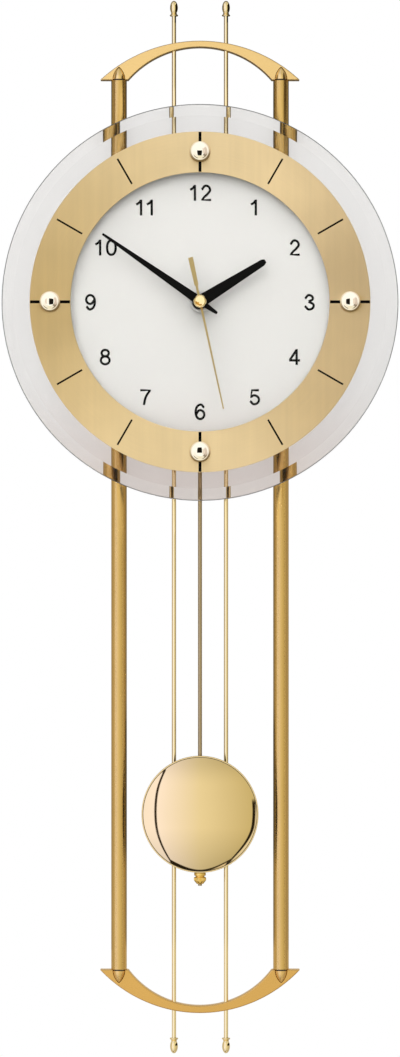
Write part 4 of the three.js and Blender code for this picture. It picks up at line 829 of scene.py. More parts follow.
# Each figure as pen strokes in a cell 1 high; a point with a third value is a corner
figureStrokes = {
    "0": [[(0.387, 0.952), (0.116, 0.5), (0.387, 0.048), (0.658, 0.5), "closed"]],
    "1": [[(0.459, 0, 1), (0.459, 1, 1)], [(0.45, 0.955, 1), (0.33, 0.8), (0.155, 0.69, 1)]],
    "2": [[(0.112, 0.7), (0.372, 0.95), (0.632, 0.715), (0.5, 0.46), (0.27, 0.235), (0.135, 0.055, 1),
           (0.7, 0.055, 1)]],
    "3": [[(0.115, 0.735), (0.362, 0.95), (0.602, 0.748), (0.34, 0.545)],
          [(0.34, 0.545), (0.655, 0.29), (0.375, 0.048), (0.1, 0.268)]],
    "4": [[(0.505, 0, 1), (0.505, 1, 1)], [(0.5, 0.95, 1), (0.07, 0.3, 1)],
          [(0.035, 0.29, 1), (0.72, 0.29, 1)]],
    "5": [[(0.655, 0.93, 1), (0.215, 0.93, 1), (0.14, 0.5, 1), (0.37, 0.612), (0.655, 0.335), (0.37, 0.048),
           (0.1, 0.255)]],
    "6": [[(0.648, 0.755), (0.41, 0.95), (0.115, 0.46), (0.385, 0.048), (0.658, 0.318), (0.4, 0.6),
           (0.128, 0.33)]],
    "7": [[(0.07, 0.93, 1), (0.69, 0.93, 1), (0.43, 0.52), (0.3, 0, 1)]],
    "8": [[(0.387, 0.952), (0.163, 0.748), (0.387, 0.545), (0.611, 0.748), "closed"],
          [(0.387, 0.545), (0.115, 0.292), (0.387, 0.048), (0.659, 0.292), "closed"]],
}
figureWidth = 0.774                 # of the six, which turned round is the nine
figureStrokes["9"] = [[(figureWidth - p[0], 1 - p[1]) for p in figureStrokes["6"][0]]]


def drawStroke(curve, stroke, left, base, height):
    points = [p for p in stroke if p != "closed"]
    spline = curve.splines.new("BEZIER")
    spline.bezier_points.add(len(points) - 1)
    spline.use_cyclic_u = len(points) < len(stroke)
    for knot, point in zip(spline.bezier_points, points):
        knot.co = (left + point[0] * height, base + point[1] * height, 0)
        kind = "VECTOR" if len(point) > 2 else "AUTO"
        knot.handle_left_type = kind
        knot.handle_right_type = kind


def makeNumerals():
    # Cell, kern of the eleven and stroke are shares of the height
    size = {"height": 10.25, "circle": 70.6, "cell": 0.777, "kern": 0.104, "stroke": 0.15, "thickness": 0.04}
    height = size["height"]
    curve = bpy.data.curves.new("numerals", "CURVE")
    curve.dimensions = "2D"
    curve.resolution_u = 10
    for hour in range(1, 13):
        angle = math.tau * hour / 12
        figures = str(hour)
        pitch = size["cell"] - (size["kern"] if figures == "11" else 0)
        width = size["cell"] + (len(figures) - 1) * pitch
        left = size["circle"] * math.sin(angle) - width * height / 2
        base = size["circle"] * math.cos(angle) - height / 2
        for k, figure in enumerate(figures):
            for stroke in figureStrokes[figure]:
                drawStroke(curve, stroke, left + k * pitch * height, base, height)
    pen = bpy.data.objects.new("dial_numerals", curve)
    scene.collection.objects.link(pen)
    obj = grow(pen, strokeTree(), "ink", {"Width": size["stroke"] * height, "Thickness": size["thickness"]})
    obj.name = "dial_numerals"
    standUp(obj, boxOf("dial_face").front + size["thickness"] / 2)
    addOn(obj, "clock_body")


def makeFixingNut():
    size = {"chamfer": 0.5, "backChamfer": 0.2, "backLength": 0.4, "mouth": 0.3, "ease": 0.2,
            "mouthEase": 0.1, "slotDepth": 0.7, "slotWidth": 1.8}
    nut = boxOf("fixing_nut")
    radius = nut.right
    ease = size["ease"]
    profile = eased([
        (arborHole, nut.back),
        (radius - size["backChamfer"], nut.back, ease),
        (radius, nut.back + size["backLength"], ease),
        (radius, nut.front - size["chamfer"], ease),
        (radius - size["chamfer"], nut.front, ease),
        (arborHole + size["mouth"], nut.front, size["mouthEase"]),
        (arborHole, nut.front - size["mouth"], size["mouthEase"]),
    ], 3)
    body = turned(profile, "depth", (0, 0, arbor), 96)
    half, reach = size["slotWidth"] / 2, radius + cutLap
    slots = []
    for turn in (0, 90):
        slot = block(-half, half, nut.front - size["slotDepth"], nut.front + cutLap, -reach, reach)
        slots.append(spun(slot, turn, arbor))
    standFor(piece("nut_slotted", carved(body, slots), "zinc", 0.08, 2), "fixing_nut")


ringWidth = 26.3

makeGlass()
makeFlatRing("dial_white_disc", "dial_face", "dialPaint", arborHole, 0.15)
makeFlatRing("ring_brushed", "dial_ring", "ring", boxOf("dial_ring").right - ringWidth, 0.28)
makeFlatRing("backing_disc", "backing_plate", "moulding", arborHole, 0.5)
makeStuds()
makeMarks()
makeNumerals()
makeFixingNut()
print("dial made")


# Hands, drawn pointing at twelve and turned clockwise

def mirroredOutline(rightSide):
    return list(rightSide) + [(-p[0],) + tuple(p[1:]) for p in reversed(rightSide)]


def handPlate(outline, node, size):
    hand = boxOf(node)
    blade = slab(eased(outline), hand.back, hand.front)
    disc = cylinder(size["hub"], hand.back, hand.front, "depth", steps=64)
    hole = cylinder(size["bore"], hand.back - cutLap, hand.front + cutLap, "depth", steps=48)
    whole = carved(carved(blade, [disc], "UNION"), [hole])
    return spun(whole, size["angle"], arbor)


def makeHourHand():
    size = {"angle": 58.1, "length": 49.6, "root": 8.2, "end": 4.3, "chamfer": 2.0, "ease": 0.3, "hub": 4.4,
            "bore": 2.7}
    outline = mirroredOutline([
        (size["root"] / 2, 0),
        (size["end"] / 2, size["length"] - size["chamfer"], size["ease"]),
        (size["end"] / 2 - size["chamfer"] / 2, size["length"], size["ease"]),
    ])
    standFor(piece("hand_hours", handPlate(outline, "hour_hand", size), "handPaint", 0.12), "hour_hand")


def makeMinuteHand():
    size = {"angle": 304.7, "length": 76.3, "root": 6.0, "end": 1.5, "ease": 0.25, "tail": 13.5,
            "tailRoot": 4.2, "tailEnd": 1.9, "tailEase": 0.8, "hub": 4.4, "bore": 2.0}
    outline = mirroredOutline([
        (size["tailEnd"] / 2, -size["tail"], size["tailEase"]),
        (size["tailRoot"] / 2, 0),
        (size["root"] / 2, 0),
        (size["end"] / 2, size["length"], size["ease"]),
    ])
    standFor(piece("hand_minutes", handPlate(outline, "minute_hand", size), "handPaint", 0.12), "minute_hand")


def makeSecondHand():
    size = {"angle": 167.7, "length": 70.8, "root": 1.5, "end": 0.85, "ease": 0.2, "tailStart": 10.9,
            "tail": 28.8, "tailRoot": 2.6, "tailEnd": 3.2, "tailEase": 0.3, "shoulder": 1.2,
            "shoulderEase": 0.5, "thickness": 0.6, "cap": 4.15, "rim": 0.8, "capChamfer": 0.25, "steps": 20}
    hand = boxOf("second_hand")
    front = hand.back + size["thickness"]
    outline = mirroredOutline([
        (size["tailEnd"] / 2, -size["tail"], size["tailEase"]),
        (size["tailRoot"] / 2, -size["tailStart"], size["shoulderEase"]),
        (size["root"] / 2, -size["tailStart"] + size["shoulder"], size["shoulderEase"]),
        (size["root"] / 2, 0),
        (size["end"] / 2, size["length"], size["ease"]),
    ])
    blade = spun(slab(eased(outline), hand.back, front), size["angle"], arbor)
    standFor(piece("hand_seconds", blade, "handGold", 0.1), "second_hand")
    radius, chamfer = size["cap"], size["capChamfer"]
    rise = hand.front - front - size["rim"]
    angles = [math.radians(90 * k / size["steps"]) for k in range(size["steps"])]
    dome = [(radius * math.cos(a), front + size["rim"] + rise * math.sin(a)) for a in angles]
    profile = [(0, front), (radius - chamfer, front), (radius, front + chamfer), *dome, (0, hand.front)]
    cap = piece("hand_cap", turned(profile, "depth", (0, 0, arbor), 72), "yellowGilt")
    addOn(cap, bodyOf["second_hand"])


makeHourHand()
makeMinuteHand()
makeSecondHand()
print("hands made")


# Frame: tubes, crescents, wires and finials

tubeRadius = (boxOf("left_tube").right - boxOf("left_tube").left) / 2
tubeDepth = boxOf("left_tube").depth


def makeTubes():
    size = {"wall": 1.0, "edge": 0.3}
    for side in sides:
        tube = boxOf(f"{side}_tube")
        bore = tubeRadius - size["wall"]
        profile = eased([(bore, tube.low), (tubeRadius, tube.low, size["edge"]),
                         (tubeRadius, tube.high, size["edge"]), (bore, tube.high)], 3)
        bm = turned(profile, "height", (tube.x, tubeDepth, 0), 96)
        standFor(piece(f"tube_{side}", bm, "satinGold"), f"{side}_tube")


# Each crescent takes its lighter or darker painted copy of the brass
crescents = {
    "top_crescent": {"name": "crescent_top", "up": True, "rise": 25.8, "waist": 4.3, "finish": "litTopCrescentGold",
                     "boss": "bossGold"},
    "bottom_crescent": {"name": "crescent_bottom", "up": False, "rise": 28.4, "waist": 4.7,
                        "finish": "shadedLowCrescentGold", "boss": "lowBossAndLedgeHighlightGold"},
}
bosses = {"radius": 3.85, "height": 8.6, "sunk": 0.3, "seam": 0.3, "neck": 3.2, "neckHeight": 0.55,
          "below": 1.0, "steps": 16}


# A circle's arch over a span, with its feet at height 0
def arch(reach, rise, steps=48):
    radius = (reach ** 2 + rise ** 2) / (2 * rise)
    spread = math.degrees(math.asin(reach / radius))
    return arc((0, rise - radius), radius, 90 - spread, 90 + spread, steps)


# A bullet boss, or the larger one that cuts its seat
def bullet(x, depth, gap, start):
    radius, height = bosses["radius"] + gap, bosses["height"] + gap
    curve = (radius ** 2 + height ** 2) / (2 * radius)
    foot = max(start, 0)
    rows = [foot + (height - foot) * k / bosses["steps"] for k in range(bosses["steps"])]
    flank = [(math.sqrt(curve ** 2 - row ** 2) - curve + radius, row) for row in rows]
    base = [(0, start), (radius, start)]
    neck = [(0, 0), (bosses["neck"], 0), (bosses["neck"], start)]
    profile = [*(base if start < 0 else neck), *flank, (0, height)]
    shape = turned(profile, "height", (x, depth, 0), 64)
    # The neck's faces take the third finish, the dark lacquer: painted shade in the seam round the boss
    for face in shape.faces:
        face.material_index = 2 if face.calc_center_median().z < bosses["neckHeight"] else 1
    return shape


# A flat crescent with a bullet boss over each tube; it is drawn as the top one
def makeCrescent(node, crescent):
    size = {"footInside": 6.1, "face": 2.85, "bevel": 0.9, "wireHole": 1.6, "wireHoleReach": 40, "ledge": 0.3,
            "sharp": 50}
    box = boxOf(node)
    tube = boxOf("right_tube")
    front = tubeDepth + size["face"]
    outer = arch(box.right, crescent["rise"])
    inner = arch(tube.x - size["footInside"], crescent["rise"] - crescent["waist"])
    plate = holder("plate", slab(outer + inner[::-1], box.back, front))
    easeEdges(plate, size["bevel"], 3, size["sharp"])
    settle(plate)
    soft = bmesh.new()
    soft.from_mesh(plate.data)
    bpy.data.objects.remove(plate)
    cuts = []
    added = []
    for side in sides.values():
        seat = (side * tube.x, front - bosses["sunk"])
        wire = (side * boxOf("right_wire").x, tubeDepth, 0)
        cuts.append(bullet(*seat, bosses["seam"], -bosses["below"]))
        reach = size["wireHoleReach"]
        cuts.append(cylinder(size["wireHole"], -reach, reach, "height", wire, 32))
        added.append(bullet(*seat, 0.0, bosses["neckHeight"]))
    whole = joined(carved(soft, cuts), *added)
    flip = Matrix.Identity(4) if crescent["up"] else Matrix.Rotation(math.pi, 4, "Y")
    whole.transform(Matrix.Translation((0, 0, tube.high if crescent["up"] else tube.low)) @ flip)
    obj = piece(crescent["name"], whole, crescent["finish"], sharpDegrees=size["sharp"])
    addFinishes(obj, crescent["boss"], "backLacquerAndShade")
    # Faces of the bottom crescent that look up take the lighter boss brass: a painted highlight
    for face in obj.data.polygons:
        if not crescent["up"] and face.normal.z > size["ledge"] and face.material_index == 0:
            face.material_index = 1
    standFor(obj, node)


def makeWires():
    size = {"ease": 0.2}
    for side in sides:
        wire = boxOf(f"{side}_wire")
        radius = (wire.front - wire.back) / 2
        corners = [(radius, height, size["ease"]) for height in (wire.low, wire.high)]
        bm = spindle(corners, "height", (wire.x, wire.depth, 0), 40, 2)
        standFor(piece(f"wire_{side}", bm, "brightGilt"), f"{side}_wire")


# Flared collar, bead and egg, from the collar's foot outwards
def finialProfile(height):
    size = {"collar": 2.7, "collarTop": 1.75, "collarHeight": 1.5, "lipHeight": 0.7, "lipEase": 0.25,
            "ease": 0.3, "bead": 1.95, "beadHeight": 0.6, "neck": 1.7, "neckHeight": 0.05, "egg": 2.55,
            "bore": 1.55, "socket": 1.4, "beadSteps": 10, "eggSteps": 24}
    top = size["collarHeight"]
    collar = eased([
        (size["bore"], 0),
        (size["collar"], 0, size["ease"]),
        (size["collar"], size["lipHeight"], size["lipEase"]),
        (size["collarTop"], top, size["ease"]),
        (size["neck"], top),
    ], 4)
    waist = math.acos(size["neck"] / size["bead"])
    half = size["beadHeight"] / 2
    turns = [-waist + 2 * waist * k / size["beadSteps"] for k in range(size["beadSteps"] + 1)]
    bead = [(size["bead"] * math.cos(a), top + half + half * a / waist) for a in turns]
    start = -math.acos(size["neck"] / size["egg"])
    shoulder = top + size["beadHeight"] + size["neckHeight"]
    long = (height - shoulder) / (1 - math.sin(start))
    angles = [start + (math.pi / 2 - start) * k / size["eggSteps"] for k in range(size["eggSteps"])]
    egg = [(size["egg"] * math.cos(a), height - long * (1 - math.sin(a))) for a in angles]
    return [(0, size["socket"]), (size["bore"], size["socket"]), *collar, *bead[1:], *egg, (0, height)]


def makeFinials():
    for end in ends:
        for side in sides:
            finial = boxOf(f"{end}_{side}_finial")
            up, foot = (1, finial.low) if end == "top" else (-1, finial.high)
            profile = [(r, up * along) for r, along in finialProfile(finial.high - finial.low)]
            bm = turned(profile, "height", (finial.x, boxOf(f"{side}_wire").depth, foot), 48)
            standFor(piece(f"finial_{end}_{side}", bm, "yellowGilt"), f"{end}_{side}_finial")


makeTubes()
for node, crescent in crescents.items():
    makeCrescent(node, crescent)
makeWires()
makeFinials()
print("frame made")


# Pendulum: rod, bob and rating nut

def makeRod():
    size = {"rod": 1.3, "eye": 2.6, "hole": 1.15, "ease": 0.3}
    rod = boxOf("pendulum_rod")
    hook = rod.high - size["eye"]
    ease = size["ease"]
    bar = spindle([(size["rod"], rod.low, ease), (size["rod"], hook)], "height", (0, rod.depth, 0), 40)
    rims = [(size["eye"], depth, ease) for depth in (rod.back, rod.front)]
    eyeDisc = spindle(rims, "depth", (0, 0, hook), 48)
    hole = cylinder(size["hole"], rod.back - cutLap, rod.front + cutLap, "depth", (0, 0, hook), 32)
    bm = carved(carved(bar, [eyeDisc], "UNION"), [hole])
    standFor(piece("rod_with_eye", bm, "bronze"), "pendulum_rod")


# The shell has a raised lip, and a groove between the lip and the dome whose faces take dark lacquer as
# painted shade
def makeBobShell():
    size = {"shell": 0.8, "rim": 1.2, "lip": 0.75, "lipEase": 0.3, "lipFoot": 0.15, "groove": 0.4,
            "raised": 0.25, "slack": 0.02}
    bob = boxOf("bob_shell")
    radius = bob.right
    rimDepth = bob.back + size["rim"]
    inside = radius - size["shell"]
    lipInside = radius - size["lip"]

    def dome(reach, rise):
        sphere = (reach ** 2 + rise ** 2) / (2 * rise)
        spread = math.degrees(math.asin(reach / sphere))
        return arc((0, rimDepth + rise - sphere), sphere, 90 - spread, 90, 40)

    rise = bob.front - rimDepth
    edge = rimDepth + size["raised"]
    outer = dome(lipInside - size["groove"], rise)
    inner = dome(inside - size["lip"], rise - size["shell"])
    lip = eased([(inside, rimDepth - size["lipFoot"]), (inside, bob.back), (radius, bob.back),
                 (radius, edge, size["lipEase"]), (lipInside, edge), (lipInside, rimDepth)], 6)
    profile = [(0, inner[-1][1]), *inner[-2::-1], *lip, *outer[:-1], (0, bob.front)]
    bm = turned(profile, "depth", (0, 0, bob.z), 160)
    shell = piece("bob_polished_shell", bm, "mirrorGold", sharpDegrees=24)
    addFinishes(shell, "backLacquerAndShade")
    # Groove faces take the dark lacquer: painted shade
    for face in shell.data.polygons:
        x, y, z = face.center / mm
        inward = lipInside - math.hypot(x, z - bob.z) + size["slack"]
        if 0 < inward < size["groove"] and -y > rimDepth - size["slack"]:
            face.material_index = 1
    standFor(shell, "bob_shell")


def makeBobBack():
    size = {"thickness": 1.0, "ease": 0.3, "guide": 7.0, "guideTop": 30.0, "guideGap": 0.1, "bore": 1.55}
    bob = boxOf("bob_shell")
    plate = boxOf("bob_back")
    front = bob.back + size["thickness"]
    low, high = bob.z - size["guideTop"], bob.z + size["guideTop"]
    half = size["guide"] / 2
    corners = [(plate.right, bob.back, size["ease"]), (plate.right, front)]
    disc = spindle(corners, "depth", (0, 0, bob.z), 128)
    root = block(-half, half, plate.back, bob.back + size["thickness"] / 2, low, high)
    guide = block(-half, half, plate.back, bob.back - size["guideGap"], plate.low, high)
    bore = cylinder(size["bore"], plate.low - cutLap, high + cutLap, "height",
                    (0, boxOf("pendulum_rod").depth, 0), 32)
    bm = carved(joinedOn(disc, root, guide), [bore])
    standFor(piece("bob_back_plate", bm, "backLacquerAndShade", 0.25, 2), "bob_back")


def makeRatingNut():
    size = {"bore": 1.55, "collar": 3.8, "collarHeight": 1.8, "groove": 2.9, "grooveHeight": 1.2,
            "knurl": 3.86, "knurlHeight": 2.2, "tip": 2.2, "slope": 0.3, "ease": 0.25, "tipEase": 0.3,
            "grooveEase": 0.2, "ridges": 40, "ridge": 0.28, "ridgeSunk": 0.06}
    nut = boxOf("rating_nut")
    slope, ease = size["slope"], size["ease"]
    collarLow = nut.high - size["collarHeight"]
    knurlHigh = collarLow - size["grooveHeight"]
    knurlLow = knurlHigh - size["knurlHeight"]
    profile = eased([
        (size["bore"], nut.low),
        (size["tip"], nut.low, size["tipEase"]),
        (size["knurl"], knurlLow, ease),
        (size["knurl"], knurlHigh, ease),
        (size["groove"], knurlHigh + slope, size["grooveEase"]),
        (size["groove"], collarLow - slope, size["grooveEase"]),
        (size["collar"], collarLow, ease),
        (size["collar"], nut.high, size["tipEase"]),
        (size["bore"], nut.high),
    ], 4)
    obj = holder("nut_for_rating", turned(profile, "height", steps=96))
    smoothShade(obj, 40)
    grow(obj, knurlTree(), "nutGold", {
        "Count": size["ridges"], "Radius": size["knurl"] - size["ridgeSunk"], "Ridge": size["ridge"],
        "Low": knurlLow + slope, "High": knurlHigh - slope,
    })
    obj.data.transform(Matrix.Scale(mm, 4) @ Matrix.Translation((nut.x, -nut.depth, 0)))
    standFor(obj, "rating_nut")


makeRod()
makeBobShell()
makeBobBack()
makeRatingNut()
print("pendulum made")


# Wall side: bars, screws, posts

def makeBars():
    size = {"corner": 4.0, "screwHole": 1.6, "seat": 3.1, "seatDepth": 1.2, "postHole": 2.0, "entry": 4.5,
            "slot": 2.3, "seatDrop": 3.2, "slotLength": 8.0}

    def hole(radius, deep, x, z):
        return cylinder(radius, -cutLap, deep, "depth", (x, 0, z), 40)

    for level, node in zip(levels, ("hanger_bar", "lower_bar")):
        bar = boxOf(node)
        plate = slab(roundedBox(bar.left, bar.right, bar.low, bar.high, size["corner"]), bar.back, bar.front)
        through = bar.front + cutLap
        tools = []
        for side in sides:
            screw = boxOf(f"{level}_{side}_tube_screw")
            post = boxOf(f"{level}_{side}_post")
            tools.append(hole(size["screwHole"], through, screw.x, screw.z))
            tools.append(hole(size["seat"], size["seatDepth"], screw.x, screw.z))
            tools.append(hole(size["postHole"], through, post.x, post.z))
        if level == "upper":
            width = size["slot"]
            slotZ = -size["seatDrop"] - width
            entryZ = slotZ - size["slotLength"]
            slot = [hole(width, through, 0, slotZ), block(-width, width, -cutLap, through, entryZ, slotZ)]
            tools.append(carved(hole(size["entry"], through, 0, entryZ), slot, "UNION"))
        standFor(piece(f"bar_{level}", carved(plate, tools), "zinc", 0.25, 2), node)


def makeScrew(node, name):
    size = {"head": 2.9, "headHeight": 1.0, "headEase": 0.4, "shank": 1.4, "endEase": 0.3, "recess": 0.55,
            "recessReach": 1.5, "recessDepth": 0.6}
    screw = boxOf(node)
    under = screw.back + size["headHeight"]
    corners = [
        (size["head"], screw.back, size["headEase"]),
        (size["head"], under),
        (size["shank"], under),
        (size["shank"], screw.front, size["endEase"]),
    ]
    half, reach = size["recess"] / 2, size["recessReach"]
    start, deep = screw.back - cutLap, screw.back + size["recessDepth"]
    cross = [block(screw.x - wide, screw.x + wide, start, deep, screw.z - tall, screw.z + tall)
             for wide, tall in ((half, reach), (reach, half))]
    body = carved(spindle(corners, "depth", (screw.x, 0, screw.z), 48), cross)
    standFor(piece(name, body, "zinc", 0.05, 2), node)


def makePost(node, name):
    size = {"spigot": 1.8, "post": 3.5, "gap": 0.1, "ease": 0.4, "endEase": 0.3}
    post = boxOf(node)
    rear = boxOf("hanger_bar").front + size["gap"]
    front = boxOf("backing_plate").back - size["gap"]
    corners = [
        (size["spigot"], post.back, size["endEase"]),
        (size["spigot"], rear),
        (size["post"], rear, size["ease"]),
        (size["post"], front, size["ease"]),
        (size["spigot"], front),
        (size["spigot"], post.front, size["endEase"]),
    ]
    standFor(piece(name, spindle(corners, "depth", (post.x, 0, post.z), 48), "zinc"), node)


makeBars()
for level in levels:
    for side in sides:
        makeScrew(f"{level}_{side}_tube_screw", f"screw_{level}_{side}")
        makePost(f"{level}_{side}_post", f"post_{level}_{side}")
print("wall side made")


# Movement: case, cover, battery, buttons; the wheels and coils keep their CAD shape

# A copy of a CAD solid with its edges eased
def easedCopy(name, node, finish, bevel):
    bm = bmesh.new()
    bm.from_mesh(frame["nodes"][node].data)
    bmesh.ops.remove_doubles(bm, verts=bm.verts, dist=2e-6)
    bmesh.ops.dissolve_limit(bm, angle_limit=math.radians(1), verts=bm.verts, edges=bm.edges)
    bm.transform(Matrix.Scale(1 / mm, 4))
    return standFor(piece(name, bm, finish, bevel, 2), node)


def makeCover():
    size = {"corner": 6.0, "gap": 0.1, "windowX": 26.15, "windowZ": 8.15, "windowCorner": 1.5,
            "buttonHole": 2.05, "lip": 1.2, "lipHeight": 0.9, "lipCorner": 2.5, "sunk": 0.5, "past": 5,
            "pin": 1.2, "pivotDrop": 3.2}
    bumps = {"pivot": {"radius": 4.0, "height": 0.8}, "arbor": {"radius": 5.0, "height": 0.6}}
    flare = 0.6
    cover = boxOf("rear_cover")
    battery = boxOf("battery")
    inner = boxOf("case_front").back - size["gap"]
    start, end = cover.back - size["past"], inner + size["past"]
    root = cover.back + size["sunk"]
    heights = {"pivot": boxOf("pendulum_lever").high - size["pivotDrop"], "arbor": arbor}

    def opening(margin, corner):
        wide, tall = size["windowX"] + margin, size["windowZ"] + margin
        return roundedBox(-wide, wide, battery.z - tall, battery.z + tall, corner)

    outline = roundedBox(cover.left, cover.right, cover.low, cover.high, size["corner"])
    sheet = slab(outline, cover.back, inner)
    added = [slab(opening(size["lip"], size["lipCorner"]), cover.back - size["lipHeight"], root)]
    for name, bump in bumps.items():
        top = cover.back - bump["height"]
        profile = [(0, top), (bump["radius"], top), (bump["radius"] + flare, root), (0, root)]
        added.append(turned(profile, "depth", (0, 0, heights[name]), 48))
    pivot = (0, 0, heights["pivot"])
    added.append(cylinder(size["pin"], inner - size["sunk"], cover.front, "depth", pivot, 32))
    cuts = [slab(opening(0, size["windowCorner"]), start, end)]
    for name in buttons:
        button = boxOf(name)
        cuts.append(cylinder(size["buttonHole"], start, end, "depth", (button.x, 0, button.z), 40))
    bm = carved(joinedOn(sheet, *added), cuts)
    standFor(piece("cover_moulded", bm, "moulding", 0.2, 2), "rear_cover")


def makeCoverRibs():
    size = {"Count": 9, "Pitch": 3.2, "Length": 34.0, "Width": 1.2, "Height": 0.5}
    aboveButtons = 7
    ribs = holder("cover_ribs", bmesh.new())
    grow(ribs, ribsTree(), "moulding", size)
    low = boxOf("set_button").z + aboveButtons
    backwards = Matrix.Rotation(math.radians(-90), 4, "X") @ Matrix.Scale(-1, 4, (0, 1, 0))
    place = Matrix.Translation((0, -boxOf("rear_cover").back, low))
    ribs.data.transform(Matrix.Scale(mm, 4) @ place @ backwards)
    addOn(ribs, "clock_body")


def makeBattery():
    size = {"radius": 7.25, "nub": 2.75, "nubLength": 1.0, "nubEase": 0.4, "crimp": 0.7, "crimpEase": 0.3,
            "footLand": 1.2, "topLand": 1.4, "land": 1.6, "footSunk": 0.2, "topSunk": 0.3}
    cell = boxOf("battery")
    radius = size["radius"]
    top = cell.right - size["nubLength"]
    foot = cell.left + size["footSunk"]
    disc = top - size["topSunk"]
    sleeve = [
        (radius - size["land"], foot),
        (radius - size["footLand"], cell.left, size["crimpEase"]),
        (radius, cell.left, size["crimp"]),
        (radius, top, size["crimp"]),
        (radius - size["topLand"], top, size["crimpEase"]),
        (radius - size["land"], disc),
    ]
    middle = (0, cell.depth, cell.z)
    body = spindle(sleeve, "width", middle, 64, 4)
    standFor(piece("battery_sleeved", body, "sleeve"), "battery")
    nub = [(size["nub"], disc), (size["nub"], cell.right, size["nubEase"])]
    tip = piece("battery_nub", spindle(nub, "width", middle, 48, 4), "zinc")
    addOn(tip, "clock_body")


def makeButtons():
    size = {"radius": 1.8, "flange": 2.8, "flangeThickness": 0.8, "topEase": 0.5, "flangeEase": 0.15,
            "endEase": 0.2}
    inner = boxOf("case_front").back
    flangeFront = inner + size["flangeThickness"]
    for name in buttons:
        button = boxOf(name)
        corners = [
            (size["radius"], button.back, size["topEase"]),
            (size["radius"], inner),
            (size["flange"], inner, size["flangeEase"]),
            (size["flange"], flangeFront, size["flangeEase"]),
            (size["radius"], flangeFront),
            (size["radius"], button.front, size["endEase"]),
        ]
        bm = spindle(corners, "depth", (button.x, 0, button.z), 48, 4)
        standFor(piece(name.replace("_", "_press_"), bm, "acetal"), name)


easedCopy("case_moulded", "case_front", "moulding", 0.4)
easedCopy("lever_moulded", "pendulum_lever", "acetal", 0.2)
for pole in ("positive", "negative"):
    easedCopy(f"contact_{pole}", f"{pole}_contact", "zinc", 0.08)
makeCover()
makeCoverRibs()
makeBattery()
makeButtons()

keptNodes = {
    "board": ["circuit_board"],
    "ferrite": ["ferrite_antenna"],
    "zinc": ["second_wheel", "minute_rotor", "second_rotor", "minute_stator", "second_stator",
             "pendulum_magnet"],
    "acetal": ["minute_wheel", "hour_wheel", "motion_wheel", "minute_third_wheel", "second_third_wheel"],
    "coilAcross": ["minute_coil", "second_coil"],
    "coilDeep": ["pendulum_coil"],
}
for finish, nodes in keptNodes.items():
    for node in nodes:
        frame["nodes"][node].data.materials.clear()
        addFinishes(frame["nodes"][node], finish)
print("movement made")


# Studio: wall, floor, lamp and the light that the metal sees

floorHeight = -0.9                  # metres, like the wall's and the lamp's measures


def plane(name, corners):
    bm = bmesh.new()
    bm.faces.new([bm.verts.new(corner) for corner in corners])
    obj = holder(name, bm)
    return obj


# A ray that bounced off a gloss, and didn't pass through glass
def mirrored(tree, path):
    return times(tree, path["Is Glossy Ray"], sums(tree, "SUBTRACT", 1.0, path["Is Transmission Ray"]))


# Cards that only a gloss sees
def onlyForGloss(obj):
    for ray in ("camera", "diffuse", "transmission", "shadow", "volume_scatter"):
        setattr(obj, f"visible_{ray}", False)


def rearOf(tree):
    return put(tree, "ShaderNodeNewGeometry").outputs["Backfacing"]


def endMaterial(tree, shader):
    put(tree, "ShaderNodeOutputMaterial", {"Surface": shader})


# Light from one side of a card, for rays no longer than the reach
def glow(name, colour, reach=None):
    material, tree = bareMaterial(name)
    light = put(tree, "ShaderNodeEmission", {"Color": colour})
    clear = put(tree, "ShaderNodeBsdfTransparent").outputs[0]
    hidden = rearOf(tree)
    if reach:
        length = put(tree, "ShaderNodeLightPath").outputs["Ray Length"]
        hidden = sums(tree, "MAXIMUM", hidden, sums(tree, "GREATER_THAN", length, reach * mm))
    endMaterial(tree, mixShaders(tree, hidden, light.outputs[0], clear))
    return material, tree, light


def colourBand(tree, place, stops):
    band = put(tree, "ShaderNodeValToRGB", {0: place})
    elements = band.color_ramp.elements
    elements.remove(elements[1])
    for k, (position, colour) in enumerate(stops):
        element = elements[0] if k == 0 else elements.new(position)
        element.position = position
        element.color = (*colour, 1)
    return band.outputs[0]


# A ring of light round a middle; bands of colour start at given depths
def ringCard(name, centre, radius, back, front, bands, reach):
    steps = 64
    blur = 0.3
    bm = bmesh.new()
    angles = [math.tau * k / steps for k in range(steps)]
    rings = [[bm.verts.new((centre[0] + radius * math.sin(a), -depth, centre[1] + radius * math.cos(a)))
              for a in angles] for depth in (back, front)]
    for k in range(steps):
        m = (k + 1) % steps
        bm.faces.new((rings[0][k], rings[0][m], rings[1][m], rings[1][k]))
    bm.transform(Matrix.Scale(mm, 4))
    obj = holder(name, bm)
    material, tree, light = glow(name, (1, 1, 1, 1), reach)
    place = splitAxes(tree, objectPlace(tree))
    aside, above = [sums(tree, "SUBTRACT", place[axis], centre[k] * mm) for k, axis in enumerate("XZ")]
    around = sums(tree, "MULTIPLY_ADD", aroundAxis(tree, aside, above)[1], 1 / math.tau, 0.5)
    depth = times(tree, place["Y"], -1 / mm)
    colour = colourBand(tree, around, bands[0][1])
    for start, stops in bands[1:]:
        share = ramp(tree, depth, start - blur, start + blur)
        colour = blendColour(tree, share, colour, colourBand(tree, around, stops))
    feed(tree, light.inputs["Color"], colour)
    obj.data.materials.append(material)
    onlyForGloss(obj)


def flatCard(name, corners, colour, reach=None):
    obj = plane(name, [Vector((x, -depth, z)) * mm for x, depth, z in corners])
    obj.data.materials.append(glow(name, (*colour, 1), reach)[0])
    onlyForGloss(obj)


# A card in front of a piece, facing it
def frontCard(name, x, z, depth, halfWidth, halfHeight, colour, reach):
    left, right, low, high = x - halfWidth, x + halfWidth, z - halfHeight, z + halfHeight
    corners = [(right, depth, low), (left, depth, low), (left, depth, high), (right, depth, high)]
    flatCard(name, corners, colour, reach)


